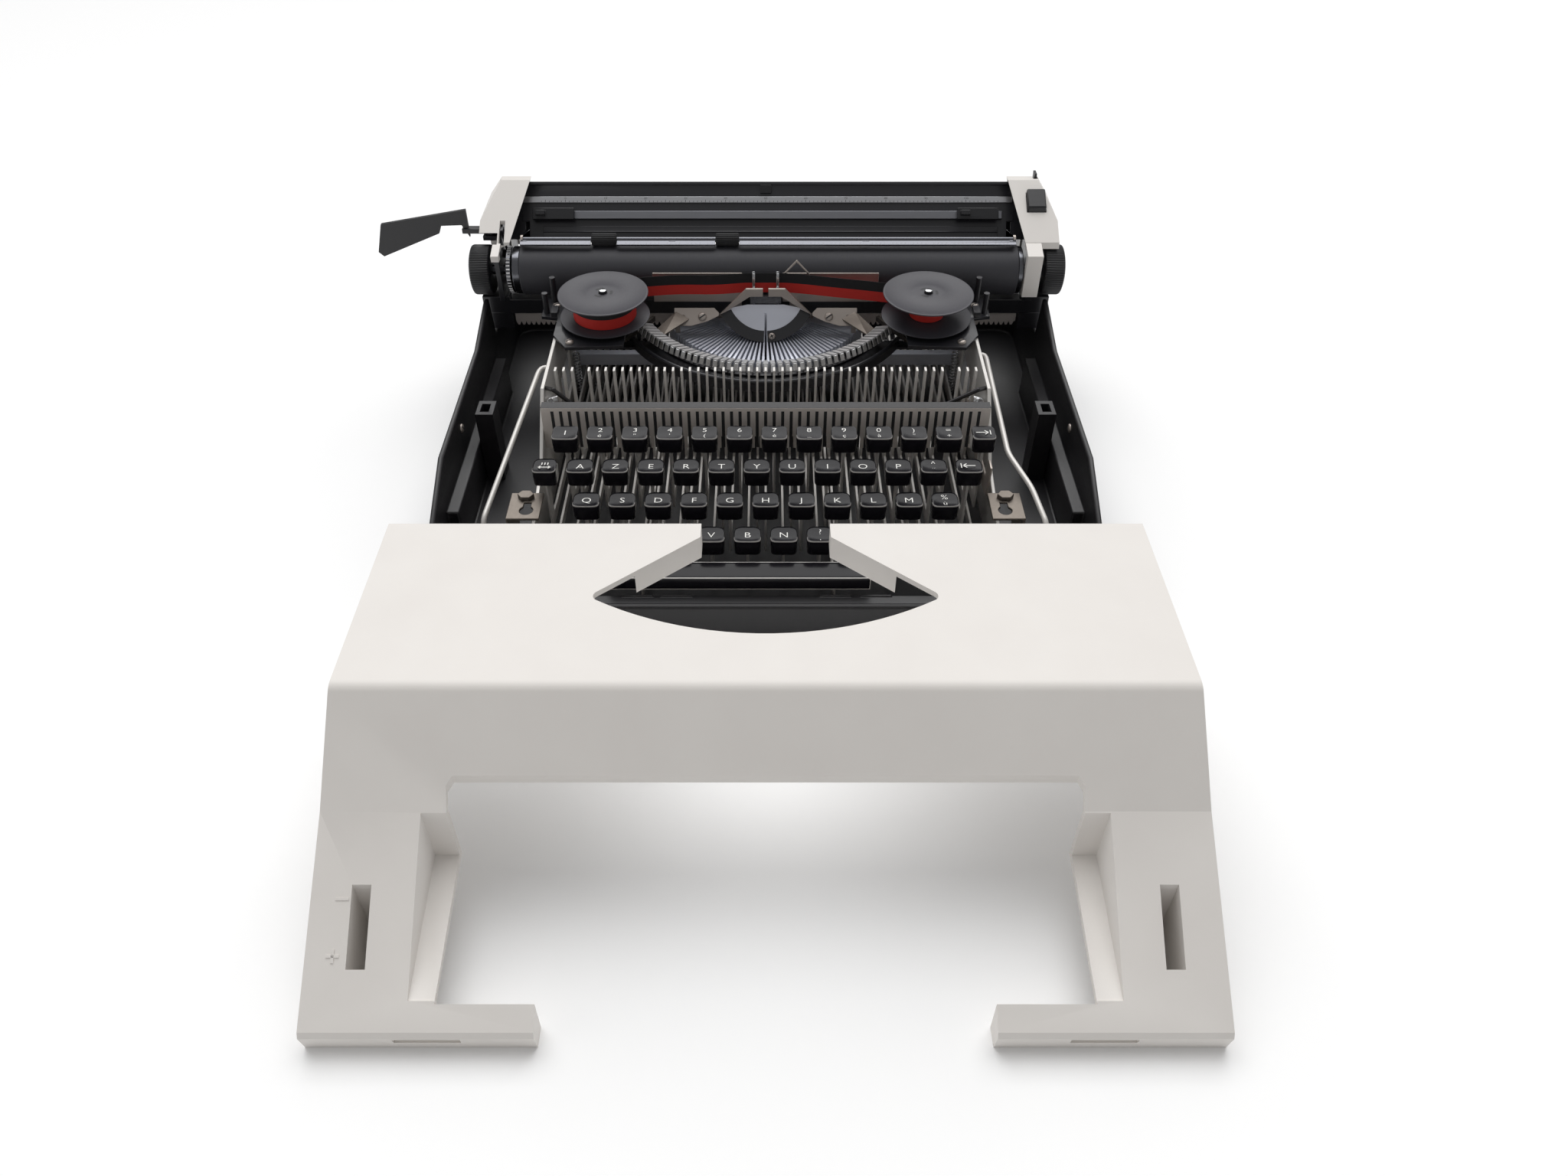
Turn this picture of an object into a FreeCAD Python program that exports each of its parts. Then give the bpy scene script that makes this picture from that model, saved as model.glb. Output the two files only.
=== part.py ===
import FreeCAD, Part
import math
import os

os.makedirs("parts", exist_ok=True)

# A flat portable typewriter with a wide carriage and its top cover taken off.
# Millimetres. X runs along the carriage, +X to the typist's right; -Y is the
# typist's side; +Z is up and z = 0 is the table. While it is modelled, y = 0 is
# the bottom row of letter keys; at the end everything is moved so that the
# origin is the middle of the whole model's footprint, on the table.

# ---- driving sizes: clearances and stock ----
SHAFT_GAP = 0.05            # radial, shaft in hole
SLIDE_GAP = 0.3             # between pieces that move past each other
SEAT_GAP = 0.1              # end play of a part between two walls
SHEET = 1.5                 # bent steel sheet
LEVER_THICK = 1.2           # key lever strip

# ---- base pan ----
PAN_HALF = 178.0
PAN_FRONT = -36.0
PAN_BACK = 270.0
PAN_WALL = 3.0
PAN_CORNER = 14.0
FOOT_HIGH = 8.0
FOOT_RADIUS = 9.0
FOOT_INSET = 26.0
RIM_FRONT = 28.0            # rim height at the front, beside the keys and at the carriage
RIM_KEYS_LOW = 47.0
RIM_KEYS_HIGH = 62.5
RIM_SPOOLS = 64.0
RIM_PEAK = 74.6
RIM_PEAK_Y = (194.5, 197.2)     # from here to here; the carriage runs over the low rim behind
RIM_DROP_Y = 201.0
RIM_CARRIAGE = 48.0
LEDGE_HIGH = 26.0
LEDGE_WIDE = 7.0
FLOOR = FOOT_HIGH + PAN_WALL

# ---- keyboard ----
KEY_PITCH = 19.0
ROW_DEPTH = 19.0
ROW_RISE = 8.0
KEY_TOP = 46.0              # top of the caps of the bottom letter row
CAP_HIGH = 8.0
CAP_WIDE = 13.4
CAP_DEEP = 11.6
CAP_CORNER = 2.6
ROW_STAGGER = {1: 4.75, 2: -4.75, 3: 0.0, 4: 9.5}
ROW_SPAN = {1: (-6, 5), 2: (-5, 5), 3: (-5, 5), 4: (-5, 4)}
FULCRUM_Y = 240.0
FULCRUM_Z = 17.0
FULCRUM_RADIUS = 2.5
LEVER_LOW = 22.0            # lower edge of a key lever under its cap
LEVER_RISE = 6.0            # climb of a lever's upper edge from its hub to its cap
TAIL_Y = 98.0               # upright strip of a key lever, where it meets its link
TAIL_TOP = 84.0
TAIL_WIDE = 4.0
COMB_Y = 75.0                # front face of the comb that guides the levers
COMB_LOW = 47.5
COMB_TOP = 74.5
SPACE_LEFT = -81.0
SPACE_RIGHT = 54.0
SPACE_TOP = 38.0
SPACE_BACK = -11.8
SPACE_DEEP = 12.4

# ---- frames ----
FRAME_X = 125.0             # inner face of a side frame
FRAME_THICK = 2.0
DECK_Z = 76.5
DECK_THICK = 2.0

# ---- type fan ----
FAN_Y = 213.6               # centre of the fan of typebars
BAR_COUNT = 44
FAN_HALF_ANGLE = 60.0
PIVOT_RADIUS = 40.7
PIVOT_Z = 34.8
STRIKE_Y = 185.5
STRIKE_Z = 88.0
STRIKE_ANGLE = 68.7
BAR_THICK = 1.0
BAR_WIDE = 3.6
SLUG_WIDE = 2.8
SLUG_LONG = 10.0
SLUG_DEEP = 5.2
SEGMENT_IN = 25.0
SEGMENT_WALL = 33.0
SEGMENT_OUT = 45.0
SEGMENT_TOP = 58.0
SEGMENT_LOW = 26.0
SEGMENT_FAN = 64.0          # outer edge of the slotted fan
SEGMENT_FIN_LOW = 40.0      # underside of the fins between the bars
SEGMENT_TIE = 56.0          # the fins are tied together outside this radius
BAR_SLOT = 0.7              # half width of a bar's slot
SHIELD_TILT = 49.0          # shield over the segment: climb, foot (y) and radius
SHIELD_FOOT = 172.0
SHIELD_RADIUS = 31.0
SHIELD_END = 17.4
SHIELD_HIGH = 23.4
SHIELD_THICK = 0.8
REST_RADIUS = 93.0
REST_TUBE = 1.4

# ---- ribbon ----
SPOOL_X = 97.3
SPOOL_Y = 164.0
SPOOL_RADIUS = 27.0
SPOOL_LOW = 81.0
SPOOL_HIGH = 96.7
FLANGE = 1.0
HUB_RADIUS = 8.0
SPINDLE_RADIUS = 2.5
ROLL_LEFT = 19.0
ROLL_RIGHT = 10.3
RIBBON_WIDE = 13.0
RIBBON_Y = 190.6
RIBBON_THICK = 0.2

# ---- carriage ----
PLATEN_Y = 209.4
PLATEN_Z = 88.0
PLATEN_RADIUS = 15.3
PLATEN_LEFT = -153.0
PLATEN_RIGHT = 157.0
SHAFT_RADIUS = 3.0
SIDE_X = 165.0              # inner face of a carriage side plate
SIDE_THICK = 3.0
KNOB_LONG = 14.0
KNOB_LEFT = -185.8
KNOB_RIGHT = 187.5
BASE_HALF = 169.0           # half length of the lower carriage
BASE_TOP = 72.0
BASE_END = 181.0            # the carriage base reaches out under the knobs
RAIL_TOP = 67.7
RACK_Y = 205.5              # front face of the toothed rack
RACK_PITCH = 3.2
RACK_DEPTH = 2.5
TABLE_FOOT = (226.0, 100.0)     # paper table, lower edge (y, z)
TABLE_HEAD = (250.5, 127.0)     # paper table, upper edge
TABLE_LEFT = -154.4
TABLE_RIGHT = 157.5
TABLE_NOTCH = 11.5          # the table's lower corners are cut away up to here for the bail's arms
BAIL_LEFT = -152.0
BAIL_RIGHT = 155.0
BAIL_ARM = 1.5
ROLLER_LEFT = (-108, -92.5)     # the bail rollers, along the carriage
ROLLER_RIGHT = (-31, -16.5)
TABLE_THICK = 1.6
COVER_WALL = 2.0            # end covers
LEG_INNER = 164.2           # inner edge of an end cover beside the carriage side
BAIL_Y = 210.8
BAIL_Z = 107.5
BAIL_RADIUS = 1.5
BAIL_ROLLER = 3.9
BAIL_PIVOT = (232.0, 101.0)
FEED_Y = 228.4
FEED_Z = 80.0
FEED_RADIUS = 5.0
FEED_SHAFT = 2.0
RETURN_X = -172.0           # upright pivot of the return lever
RETURN_Y = 222.0
BUTTON_LEFT = 163.0         # square release button on the right end cover
BUTTON_RIGHT = 174.6

# ---- top cover, standing off in front ----
COVER_BACK = -51.6
COVER_RIDGE = (-151.0, 97.2)    # (y, z)
COVER_ROOT = (-183.5, 58.5)
COVER_NOSE = (-252.6, 13.0)
COVER_FRONT = -254.0
COVER_HALF = 177.3
COVER_FOOT_HALF = 179.0
COVER_TOP_HALF = 173.0
RIDGE_ROUND = 6.0
SHELL = 2.8
POCKET_X = 137.2            # outer wall, back wall (y) and floor of the pockets beside the keys
POCKET_BACK = -184.0
POCKET_LOW = 28.8
POCKET_END = (-243.0, 18.5)
OPEN_HALF = 127.0
OPEN_BACK = -174.3
OPEN_CORNER = 2.5
LIP_BACK = -244.0
LIP_GAP_HALF = 88.5
LIP_LEAN = 1.8
RIM_EDGE = ((-236.0, 0.0), (-215.0, 24.0), (-179.0, 42.0), (-75.0, 44.0))
RIM_X = 150.0               # the lower edge is cut away outside this
LEG_X = 168.0
SLOT_X = (154.5, 162.0)     # slots through the cover's arms
SLOT_Y = (-233.5, -207.0)
EYE_NOTCH_HALF = 29.5
EYE_HALF = 76.0
EYE_CORNER = 3.0
SKIRT_DEEP = 12.5
SKIRT_HALF = 57.5

nodes = {}


# ---- small helpers ----
def box(x0, x1, y0, y1, z0, z1):
    return Part.makeBox(x1 - x0, y1 - y0, z1 - z0, FreeCAD.Vector(x0, y0, z0))


def cyl_x(x0, x1, y, z, radius):
    return Part.makeCylinder(radius, x1 - x0, FreeCAD.Vector(x0, y, z), FreeCAD.Vector(1, 0, 0))


def cyl_y(y0, y1, x, z, radius):
    return Part.makeCylinder(radius, y1 - y0, FreeCAD.Vector(x, y0, z), FreeCAD.Vector(0, 1, 0))


def cyl_z(z0, z1, x, y, radius):
    return Part.makeCylinder(radius, z1 - z0, FreeCAD.Vector(x, y, z0))


def face_of(corners):
    return Part.Face(Part.makePolygon(corners + [corners[0]]))


def plate_yz(points, x0, x1):
    corners = [FreeCAD.Vector(x0, y, z) for y, z in points]
    return face_of(corners).extrude(FreeCAD.Vector(x1 - x0, 0, 0))


def plate_xz(points, y0, y1):
    corners = [FreeCAD.Vector(x, y0, z) for x, z in points]
    return face_of(corners).extrude(FreeCAD.Vector(0, y1 - y0, 0))


def plate_xy(points, z0, z1):
    corners = [FreeCAD.Vector(x, y, z0) for x, y in points]
    return face_of(corners).extrude(FreeCAD.Vector(0, 0, z1 - z0))


def rod(points, radius):
    pieces = []
    for start, end in zip(points, points[1:]):
        a = FreeCAD.Vector(*start)
        b = FreeCAD.Vector(*end)
        pieces.append(Part.makeCylinder(radius, a.distanceToPoint(b), a, b - a))
    for knee in points[1:-1]:
        pieces.append(Part.makeSphere(radius, FreeCAD.Vector(*knee)))
    return join(pieces)


def join(pieces):
    result = pieces[0]
    for piece in pieces[1:]:
        result = result.fuse(piece)
    return result.removeSplitter()


def mirrored(shape):
    return shape.mirror(FreeCAD.Vector(0, 0, 0), FreeCAD.Vector(1, 0, 0))


def group(pieces):
    solids = []
    for piece in pieces:
        solids.extend(piece.Solids)
    return Part.makeCompound(solids)


def ring_sector(inner, outer, z0, z1, half_angle):
    """Sector of a ring about the fan's centre, opening towards the typist."""
    start = -90.0 - half_angle
    axis = FreeCAD.Vector(0, 0, 1)
    centre = FreeCAD.Vector(0, FAN_Y, z0)
    whole = Part.makeCylinder(outer, z1 - z0, centre, axis, 2 * half_angle)
    hole = Part.makeCylinder(inner, z1 - z0, centre, axis, 360)
    whole.rotate(centre, axis, start)
    return whole.cut(hole)


# ---- base ----
def pan_profile(inset, floor):
    return [(PAN_FRONT + inset, floor), (PAN_FRONT + inset, RIM_FRONT), (10.0, RIM_KEYS_LOW),
            (46.0, RIM_KEYS_HIGH), (153.0, RIM_SPOOLS), (RIM_PEAK_Y[0], RIM_PEAK),
            (RIM_PEAK_Y[1], RIM_PEAK), (RIM_DROP_Y, RIM_CARRIAGE),
            (PAN_BACK - inset, RIM_CARRIAGE), (PAN_BACK - inset, floor)]


def rounded_block(half, y0, y1, z0, z1, corner):
    block = box(-half, half, y0, y1, z0, z1)
    uprights = [edge for edge in block.Edges if abs(edge.tangentAt(0).z) > 0.9]
    return block.makeFillet(corner, uprights)


def base_pan():
    outer = rounded_block(PAN_HALF, PAN_FRONT, PAN_BACK, FOOT_HIGH, RIM_PEAK, PAN_CORNER)
    outer = outer.common(plate_yz(pan_profile(0, FOOT_HIGH), -PAN_HALF, PAN_HALF))
    inner = rounded_block(PAN_HALF - PAN_WALL, PAN_FRONT + PAN_WALL, PAN_BACK - PAN_WALL, FLOOR,
                          RIM_PEAK + 1, PAN_CORNER - PAN_WALL)
    pan = outer.cut(inner)
    wall = PAN_HALF - PAN_WALL
    ledge = box(wall - LEDGE_WIDE, wall + 1, 30, 188, FLOOR - 1, FLOOR + LEDGE_HIGH)
    return join([pan, ledge, mirrored(ledge)])


def rubber_feet():
    feet = []
    for x in (-PAN_HALF + FOOT_INSET, PAN_HALF - FOOT_INSET):
        for y in (PAN_FRONT + FOOT_INSET, PAN_BACK - FOOT_INSET):
            feet.append(cyl_z(0, FOOT_HIGH, x, y, FOOT_RADIUS))
    return group(feet)


def side_frames():
    outline = [(20, FLOOR), (20, 36), (60, 46), (92, DECK_Z), (192, DECK_Z), (198, RIM_CARRIAGE),
               (262, RIM_CARRIAGE), (262, FLOOR)]
    plate = plate_yz(outline, FRAME_X, FRAME_X + FRAME_THICK)
    window = box(FRAME_X - 1, FRAME_X + FRAME_THICK + 1, 142, 180, 24, 50)
    hole = cyl_x(FRAME_X - 1, FRAME_X + FRAME_THICK + 1, FULCRUM_Y, FULCRUM_Z, FULCRUM_RADIUS)
    plate = plate.cut(window).cut(hole)
    post = box(157, 167.5, 93, 107, FLOOR, 58).cut(box(160, 165, 96, 104, 40, 59))
    return group([plate, mirrored(plate), post, mirrored(post)])


def mount_plates():
    plate = box(120.4, 138, 12, 34, 46, 46 + SHEET)
    leg = box(138 - SHEET, 138, 12, 34, FLOOR, 46)
    keyhole = cyl_z(40, 50, 128, 19, 3.6).fuse(box(126, 130, 19, 26, 40, 50))
    bracket = join([plate, leg]).cut(keyhole)
    corners = []
    for step in range(6):
        angle = math.radians(60 * step)
        corners.append((129.5 + 4.6 * math.cos(angle), 29.8 + 3.6 * math.sin(angle)))
    bolt = plate_xy(corners, 46 + SHEET, 46 + SHEET + 2.6)
    return group([bracket, mirrored(bracket), bolt, mirrored(bolt)])


def key_comb():
    plate = box(-FRAME_X, FRAME_X, COMB_Y, COMB_Y + SHEET, COMB_LOW, COMB_TOP)
    lip = box(-FRAME_X, FRAME_X, COMB_Y, COMB_Y + 4 * SHEET, COMB_TOP - SHEET, COMB_TOP)
    notch_pitch = KEY_PITCH / 4
    notches = []
    for step in range(-24, 25):
        x = step * notch_pitch
        notches.append(box(x - 1.4, x + 1.4, COMB_Y - 1, COMB_Y + SHEET + 1, COMB_LOW - 1, COMB_LOW + 8))
    selector_gap = box(119.6, 123, COMB_Y - 1, COMB_Y + SHEET + 1, COMB_LOW - 1, COMB_LOW + 8)
    return plate.fuse(lip).cut(Part.makeCompound(notches)).cut(selector_gap)


def cross_rods():
    fulcrum = cyl_x(-FRAME_X - 4, FRAME_X + 4, FULCRUM_Y, FULCRUM_Z, FULCRUM_RADIUS)
    half = FRAME_X
    wire = rod([(-half, 96, 74), (-119, 88, 78), (-109, 88, 68), (101, 88, 68), (119, 88, 78),
                (half, 96, 74)], 1.2)
    wire = wire.common(box(-half, half, 0, 200, 0, 200))
    return group([fulcrum, wire])


def front_apron():
    deep = 6.4
    y0 = PAN_FRONT + PAN_WALL
    strip = box(-PAN_HALF + PAN_CORNER + 4, PAN_HALF - PAN_CORNER - 4, y0, y0 + deep,
                RIM_FRONT - 2.5, RIM_FRONT)
    tabs = [strip]
    for x in (-66, -46, 36, 57):
        tabs.append(box(x - 8, x + 8, y0 + deep - 1.2, y0 + deep, RIM_FRONT, RIM_FRONT + 0.8))
    web = box(-60, 60, y0, y0 + 1.2, FLOOR, RIM_FRONT - 2.5)
    return join(tabs + [web])


# ---- keys ----
def key_place(row, index):
    x = ROW_STAGGER[row] + KEY_PITCH * index
    return x, ROW_DEPTH * (4 - row), KEY_TOP + ROW_RISE * (4 - row)


def cap(x, y, top, wide, deep):
    w = wide / 2
    d = deep / 2
    c = CAP_CORNER
    outline = [(x - w + c, y - d), (x + w - c, y - d), (x + w, y - d + c), (x + w, y + d - c),
               (x + w - c, y + d), (x - w + c, y + d), (x - w, y + d - c), (x - w, y - d + c)]
    return plate_xy(outline, top - CAP_HIGH, top)


def lever(x, y, top, tail=True):
    """Key lever in the plane x: hub on the fulcrum rod, long arm, stem under the cap."""
    hub = 4.0
    half_stem = 4.0
    hub_top = FULCRUM_Z + hub
    outline = [(FULCRUM_Y + hub + 2, FULCRUM_Z - hub), (FULCRUM_Y + hub + 2, hub_top)]
    if tail:
        rise = (FULCRUM_Y - TAIL_Y) / (FULCRUM_Y - y) * LEVER_RISE
        outline += [(TAIL_Y + TAIL_WIDE + 2, hub_top + rise), (TAIL_Y + TAIL_WIDE, TAIL_TOP),
                    (TAIL_Y, TAIL_TOP),
                    (TAIL_Y, hub_top + rise)]
    outline += [(y + 14, hub_top + LEVER_RISE), (y + half_stem, hub_top + LEVER_RISE + 2),
                (y + half_stem, top - CAP_HIGH), (y - half_stem, top - CAP_HIGH),
                (y - half_stem, LEVER_LOW)]
    strip = plate_yz(outline, x - LEVER_THICK / 2, x + LEVER_THICK / 2)
    hole = cyl_x(x - LEVER_THICK, x + LEVER_THICK, FULCRUM_Y, FULCRUM_Z,
                 FULCRUM_RADIUS + SHAFT_GAP)
    return strip.cut(hole)


def key(row, index):
    x, y, top = key_place(row, index)
    return [cap(x, y, top, CAP_WIDE, CAP_DEEP), lever(x, y, top)]


def key_row(row):
    pieces = []
    first, last = ROW_SPAN[row]
    for index in range(first, last + 1):
        if (row, index) != (3, 0):
            pieces += key(row, index)
    return group(pieces)


def function_key(row, x, wide, lever_x):
    y = ROW_DEPTH * (4 - row)
    top = KEY_TOP + ROW_RISE * (4 - row)
    return group([cap(x, y, top, wide, CAP_DEEP), lever(lever_x, y, top)])


def shift_lock():
    y = SPACE_BACK - SPACE_DEEP / 2
    return group([cap(-106, y, SPACE_TOP + 2, 11, 11), lever(-104.5, y, SPACE_TOP + 2, False)])


def space_bar():
    y0 = SPACE_BACK - SPACE_DEEP
    bar = box(SPACE_LEFT, SPACE_RIGHT, y0, SPACE_BACK, SPACE_TOP - CAP_HIGH, SPACE_TOP)
    middle = (y0 + SPACE_BACK) / 2
    arms = []
    for step in (-13.5, 7.5):
        arms.append(lever(step * KEY_PITCH / 4, middle, SPACE_TOP, False))
    return group([bar] + arms)


# ---- type basket ----
def struck_bar():
    """The middle typebar as it stands when it prints."""
    pivot_y = FAN_Y - PIVOT_RADIUS
    run = FreeCAD.Vector(0, STRIKE_Y - pivot_y, STRIKE_Z - PIVOT_Z)
    run.normalize()
    side = FreeCAD.Vector(0, run.z, -run.y) * (BAR_WIDE / 2)
    a = FreeCAD.Vector(0, pivot_y, PIVOT_Z)
    b = FreeCAD.Vector(0, STRIKE_Y, STRIKE_Z)
    outline = [(v.y, v.z) for v in (a - side, a + side, b + side, b - side)]
    half = BAR_THICK / 2
    arm = plate_yz(outline, -half, half)
    hub = cyl_x(-half, half, pivot_y, PIVOT_Z, 3.0)
    slug = box(-SLUG_WIDE / 2, SLUG_WIDE / 2, STRIKE_Y - 0.5, STRIKE_Y - 0.5 + SLUG_DEEP,
               STRIKE_Z - SLUG_LONG / 2, STRIKE_Z + SLUG_LONG / 2)
    bar = join([arm, hub, slug])
    return bar.cut(cyl_x(-1, 1, pivot_y, PIVOT_Z, 0.8 + SHAFT_GAP))


def resting_bar():
    bar = struck_bar()
    pivot = FreeCAD.Vector(0, FAN_Y - PIVOT_RADIUS, PIVOT_Z)
    bar.rotate(pivot, FreeCAD.Vector(1, 0, 0), STRIKE_ANGLE)
    return bar


def bar_angle(step):
    return -FAN_HALF_ANGLE + 2 * FAN_HALF_ANGLE * step / (BAR_COUNT - 1)


def fan_shift():
    """Turn of the whole fan that puts one typebar exactly in the middle plane."""
    return FAN_HALF_ANGLE / (BAR_COUNT - 1)


def typebars():
    bars = []
    for step in range(BAR_COUNT):
        angle = bar_angle(step) - fan_shift()
        if abs(angle) > 0.01:
            bar = resting_bar()
            bar.rotate(FreeCAD.Vector(0, FAN_Y, 0), FreeCAD.Vector(0, 0, 1), angle)
            bars.append(bar)
    return group(bars)


def on_shield(shape):
    """Lay a shape drawn in the xy plane on the tilted plane of the shield."""
    shape.rotate(FreeCAD.Vector(0, 0, 0), FreeCAD.Vector(1, 0, 0), SHIELD_TILT)
    shape.translate(FreeCAD.Vector(0, SHIELD_FOOT, SEGMENT_TOP))
    return shape


def shield():
    """Round-bottomed plate over the segment, slotted for the middle typebar, on its web."""
    x = math.sqrt(SHIELD_RADIUS ** 2 - (SHIELD_RADIUS - SHIELD_END) ** 2)
    points = [(x, SHIELD_END), (21.8, 21.4), (11.4, SHIELD_HIGH), (-11.4, SHIELD_HIGH), (-21.8, 21.4),
              (-x, SHIELD_END)]
    edges = [arc_between((-x, SHIELD_END, 0), (0, 0, 0), (x, SHIELD_END, 0))]
    for a, b in zip(points, points[1:]):
        edges.append(Part.makeLine(FreeCAD.Vector(*a, 0), FreeCAD.Vector(*b, 0)))
    plate = Part.Face(Part.Wire(edges)).extrude(FreeCAD.Vector(0, 0, -SHIELD_THICK))
    plate = on_shield(plate.cut(box(-BAR_SLOT, BAR_SLOT, -1, SHIELD_END + 0.6, -2, 1)))
    web = plate_yz([(180.9, SEGMENT_TOP), (183.9, 70.6), (184.9, 71.8), (182.4, SEGMENT_TOP)], -3, 3)
    return join([plate, web])


def type_segment():
    half = FAN_HALF_ANGLE + 8
    wall = ring_sector(SEGMENT_IN, SEGMENT_WALL, SEGMENT_LOW, SEGMENT_TOP, half)
    floor = ring_sector(SEGMENT_WALL - 0.5, SEGMENT_OUT + 1, SEGMENT_LOW, PIVOT_Z - 3.2, half)
    fan = ring_sector(SEGMENT_WALL - 0.5, SEGMENT_FAN, SEGMENT_FIN_LOW, SEGMENT_TOP, half + 8)
    fan = fan.cut(box(-SEGMENT_FAN, SEGMENT_FAN, RACK_Y - 2.5, FAN_Y, 0, 80))
    slots = []
    for step in range(BAR_COUNT):
        angle = bar_angle(step) - fan_shift()
        end = FAN_Y - SEGMENT_WALL - 0.4
        if abs(angle) < 0.01:
            end += 3.4
        slot = box(-BAR_SLOT, BAR_SLOT, FAN_Y - SEGMENT_TIE, end, SEGMENT_FIN_LOW - 1, SEGMENT_TOP + 1)
        outer = box(-BAR_SLOT, BAR_SLOT, FAN_Y - SEGMENT_FAN - 2, FAN_Y - SEGMENT_TIE + 1,
                    SEGMENT_FIN_LOW + 3.2, SEGMENT_TOP + 1)
        slot = slot.fuse(outer)
        slot.rotate(FreeCAD.Vector(0, FAN_Y, 0), FreeCAD.Vector(0, 0, 1), angle)
        slots.append(slot)
    ring = join([wall, floor, fan]).cut(Part.makeCompound(slots))
    pivot_wire = cyl_x(-1.2, 1.2, FAN_Y - PIVOT_RADIUS, PIVOT_Z, 0.8)
    plate = ring_sector(8, SEGMENT_IN, SEGMENT_TOP - 4, SEGMENT_TOP, 60)
    plate = plate.cut(box(-30, 30, RACK_Y - 3.5, FAN_Y, 0, 80))
    bridge = box(-FRAME_X, FRAME_X, 197, 202.5, SEGMENT_LOW, SEGMENT_LOW + 8)
    bridge = bridge.cut(cyl_z(0, 80, 0, FAN_Y, SEGMENT_WALL - 1))
    return group([ring.fuse(bridge), pivot_wire, plate, shield()])


def type_rest():
    half = FAN_HALF_ANGLE + 2
    centre = FreeCAD.Vector(0, FAN_Y, 62)
    tube = Part.makeTorus(REST_RADIUS, REST_TUBE, centre, FreeCAD.Vector(0, 0, 1), 0, 360,
                          2 * half)
    tube.rotate(centre, FreeCAD.Vector(0, 0, 1), -90 - half)
    shelf = ring_sector(79, REST_RADIUS, 56, 57.5, half)
    rest = ring_sector(79, 81, 56, 58.8, half)
    fence = ring_sector(REST_RADIUS - 1, REST_RADIUS + 1, 56, 62, half)
    end_y = FAN_Y - REST_RADIUS * math.cos(math.radians(half))
    wing = box(76, FRAME_X, end_y - 3, end_y + 5, 56, 57.5)
    return join([tube, shelf, rest, fence, wing, mirrored(wing)])


def type_guide():
    """Bridge over the middle of the fan, slotted for the type, between two tilted brackets."""
    outline = [(-28.5, 71.9), (-12, 89.3), (12, 89.3), (28.5, 71.9), (24.6, 73.9), (9.6, 84.2),
               (-9.6, 84.2), (-24.6, 73.9)]
    bridge = plate_xz(outline, 181.6, 183.2)
    bridge = bridge.cut(box(-1.7, 1.7, 180, 185, 70, 95))
    bracket = plate_xy([(57, 21.1), (32.1, 21.1), (29.2, 18.2), (29.2, 16.4), (31.4, 15.2),
                        (36.8, 12.7), (46.2, 10), (53.2, 10), (57, 18)], 0, 1.2)
    bracket = on_shield(bracket.cut(cyl_z(-1, 2, 51.5, 15.5, 1.3)))
    leg = box(54, 57, 183.5, 185, SEGMENT_TOP, 72.6)
    side = join([bracket, leg])
    return group([bridge, side, mirrored(side)])


def card_plates():
    foot = SEGMENT_TOP
    plate = box(10.5, 70, 192, 193, 75, 94.5).fuse(box(15, 20, 192, 193, foot, 76))
    left = box(-70, -14.6, 192, 193, 75, 94.5).fuse(box(-20, -15, 192, 193, foot, 76))
    wire = rod([(11, 191.4, 94), (19, 191.4, 103), (27, 191.4, 94)], 0.6)
    return group([plate, left, wire])


# ---- ribbon ----
def ribbon_deck():
    top = DECK_Z + DECK_THICK
    outline = [(84, 134), (118, 132), (126.8, 146), (126.8, 166), (137, 168), (137, 190), (84, 190)]
    deck = plate_xy(outline, DECK_Z, top)
    spindle = cyl_z(top, SPOOL_HIGH + 1.6, SPOOL_X, SPOOL_Y, SPINDLE_RADIUS)
    seat = cyl_z(top, SPOOL_LOW - SLIDE_GAP, SPOOL_X, SPOOL_Y, 6)
    posts = [cyl_z(top, 95, 131, 186, 1.8), cyl_z(top, 92, 134, 172, 1.8)]
    pawl = box(127, 131, 167, 176, top, top + 3)
    side = join([deck, spindle, seat, pawl] + posts)
    return group([side, mirrored(side)])


def spool(x, roll):
    hole = SPINDLE_RADIUS + SHAFT_GAP
    low = cyl_z(SPOOL_LOW, SPOOL_LOW + FLANGE, x, SPOOL_Y, SPOOL_RADIUS)
    high = cyl_z(SPOOL_HIGH - FLANGE, SPOOL_HIGH, x, SPOOL_Y, SPOOL_RADIUS)
    hub = cyl_z(SPOOL_LOW, SPOOL_HIGH, x, SPOOL_Y, HUB_RADIUS)
    body = join([low, high, hub]).cut(cyl_z(SPOOL_LOW - 1, SPOOL_HIGH + 1, x, SPOOL_Y, hole))
    z0 = SPOOL_LOW + FLANGE
    z1 = SPOOL_HIGH - FLANGE
    wound = cyl_z(z0, z1, x, SPOOL_Y, roll).cut(cyl_z(z0, z1, x, SPOOL_Y, HUB_RADIUS))
    return group([body, wound])


def ribbon():
    half = RIBBON_THICK / 2
    low = SPOOL_LOW + FLANGE + 0.3
    left = (-SPOOL_X + 3, SPOOL_Y + ROLL_LEFT + 0.3)
    right = (SPOOL_X - 2, SPOOL_Y + ROLL_RIGHT + 0.3)
    line = [left, (-12, RIBBON_Y + half), (12, RIBBON_Y + half), right]
    outline = [(x, y - half) for x, y in line] + [(x, y + half) for x, y in reversed(line)]
    return plate_xy(outline, low, low + RIBBON_WIDE)


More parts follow.
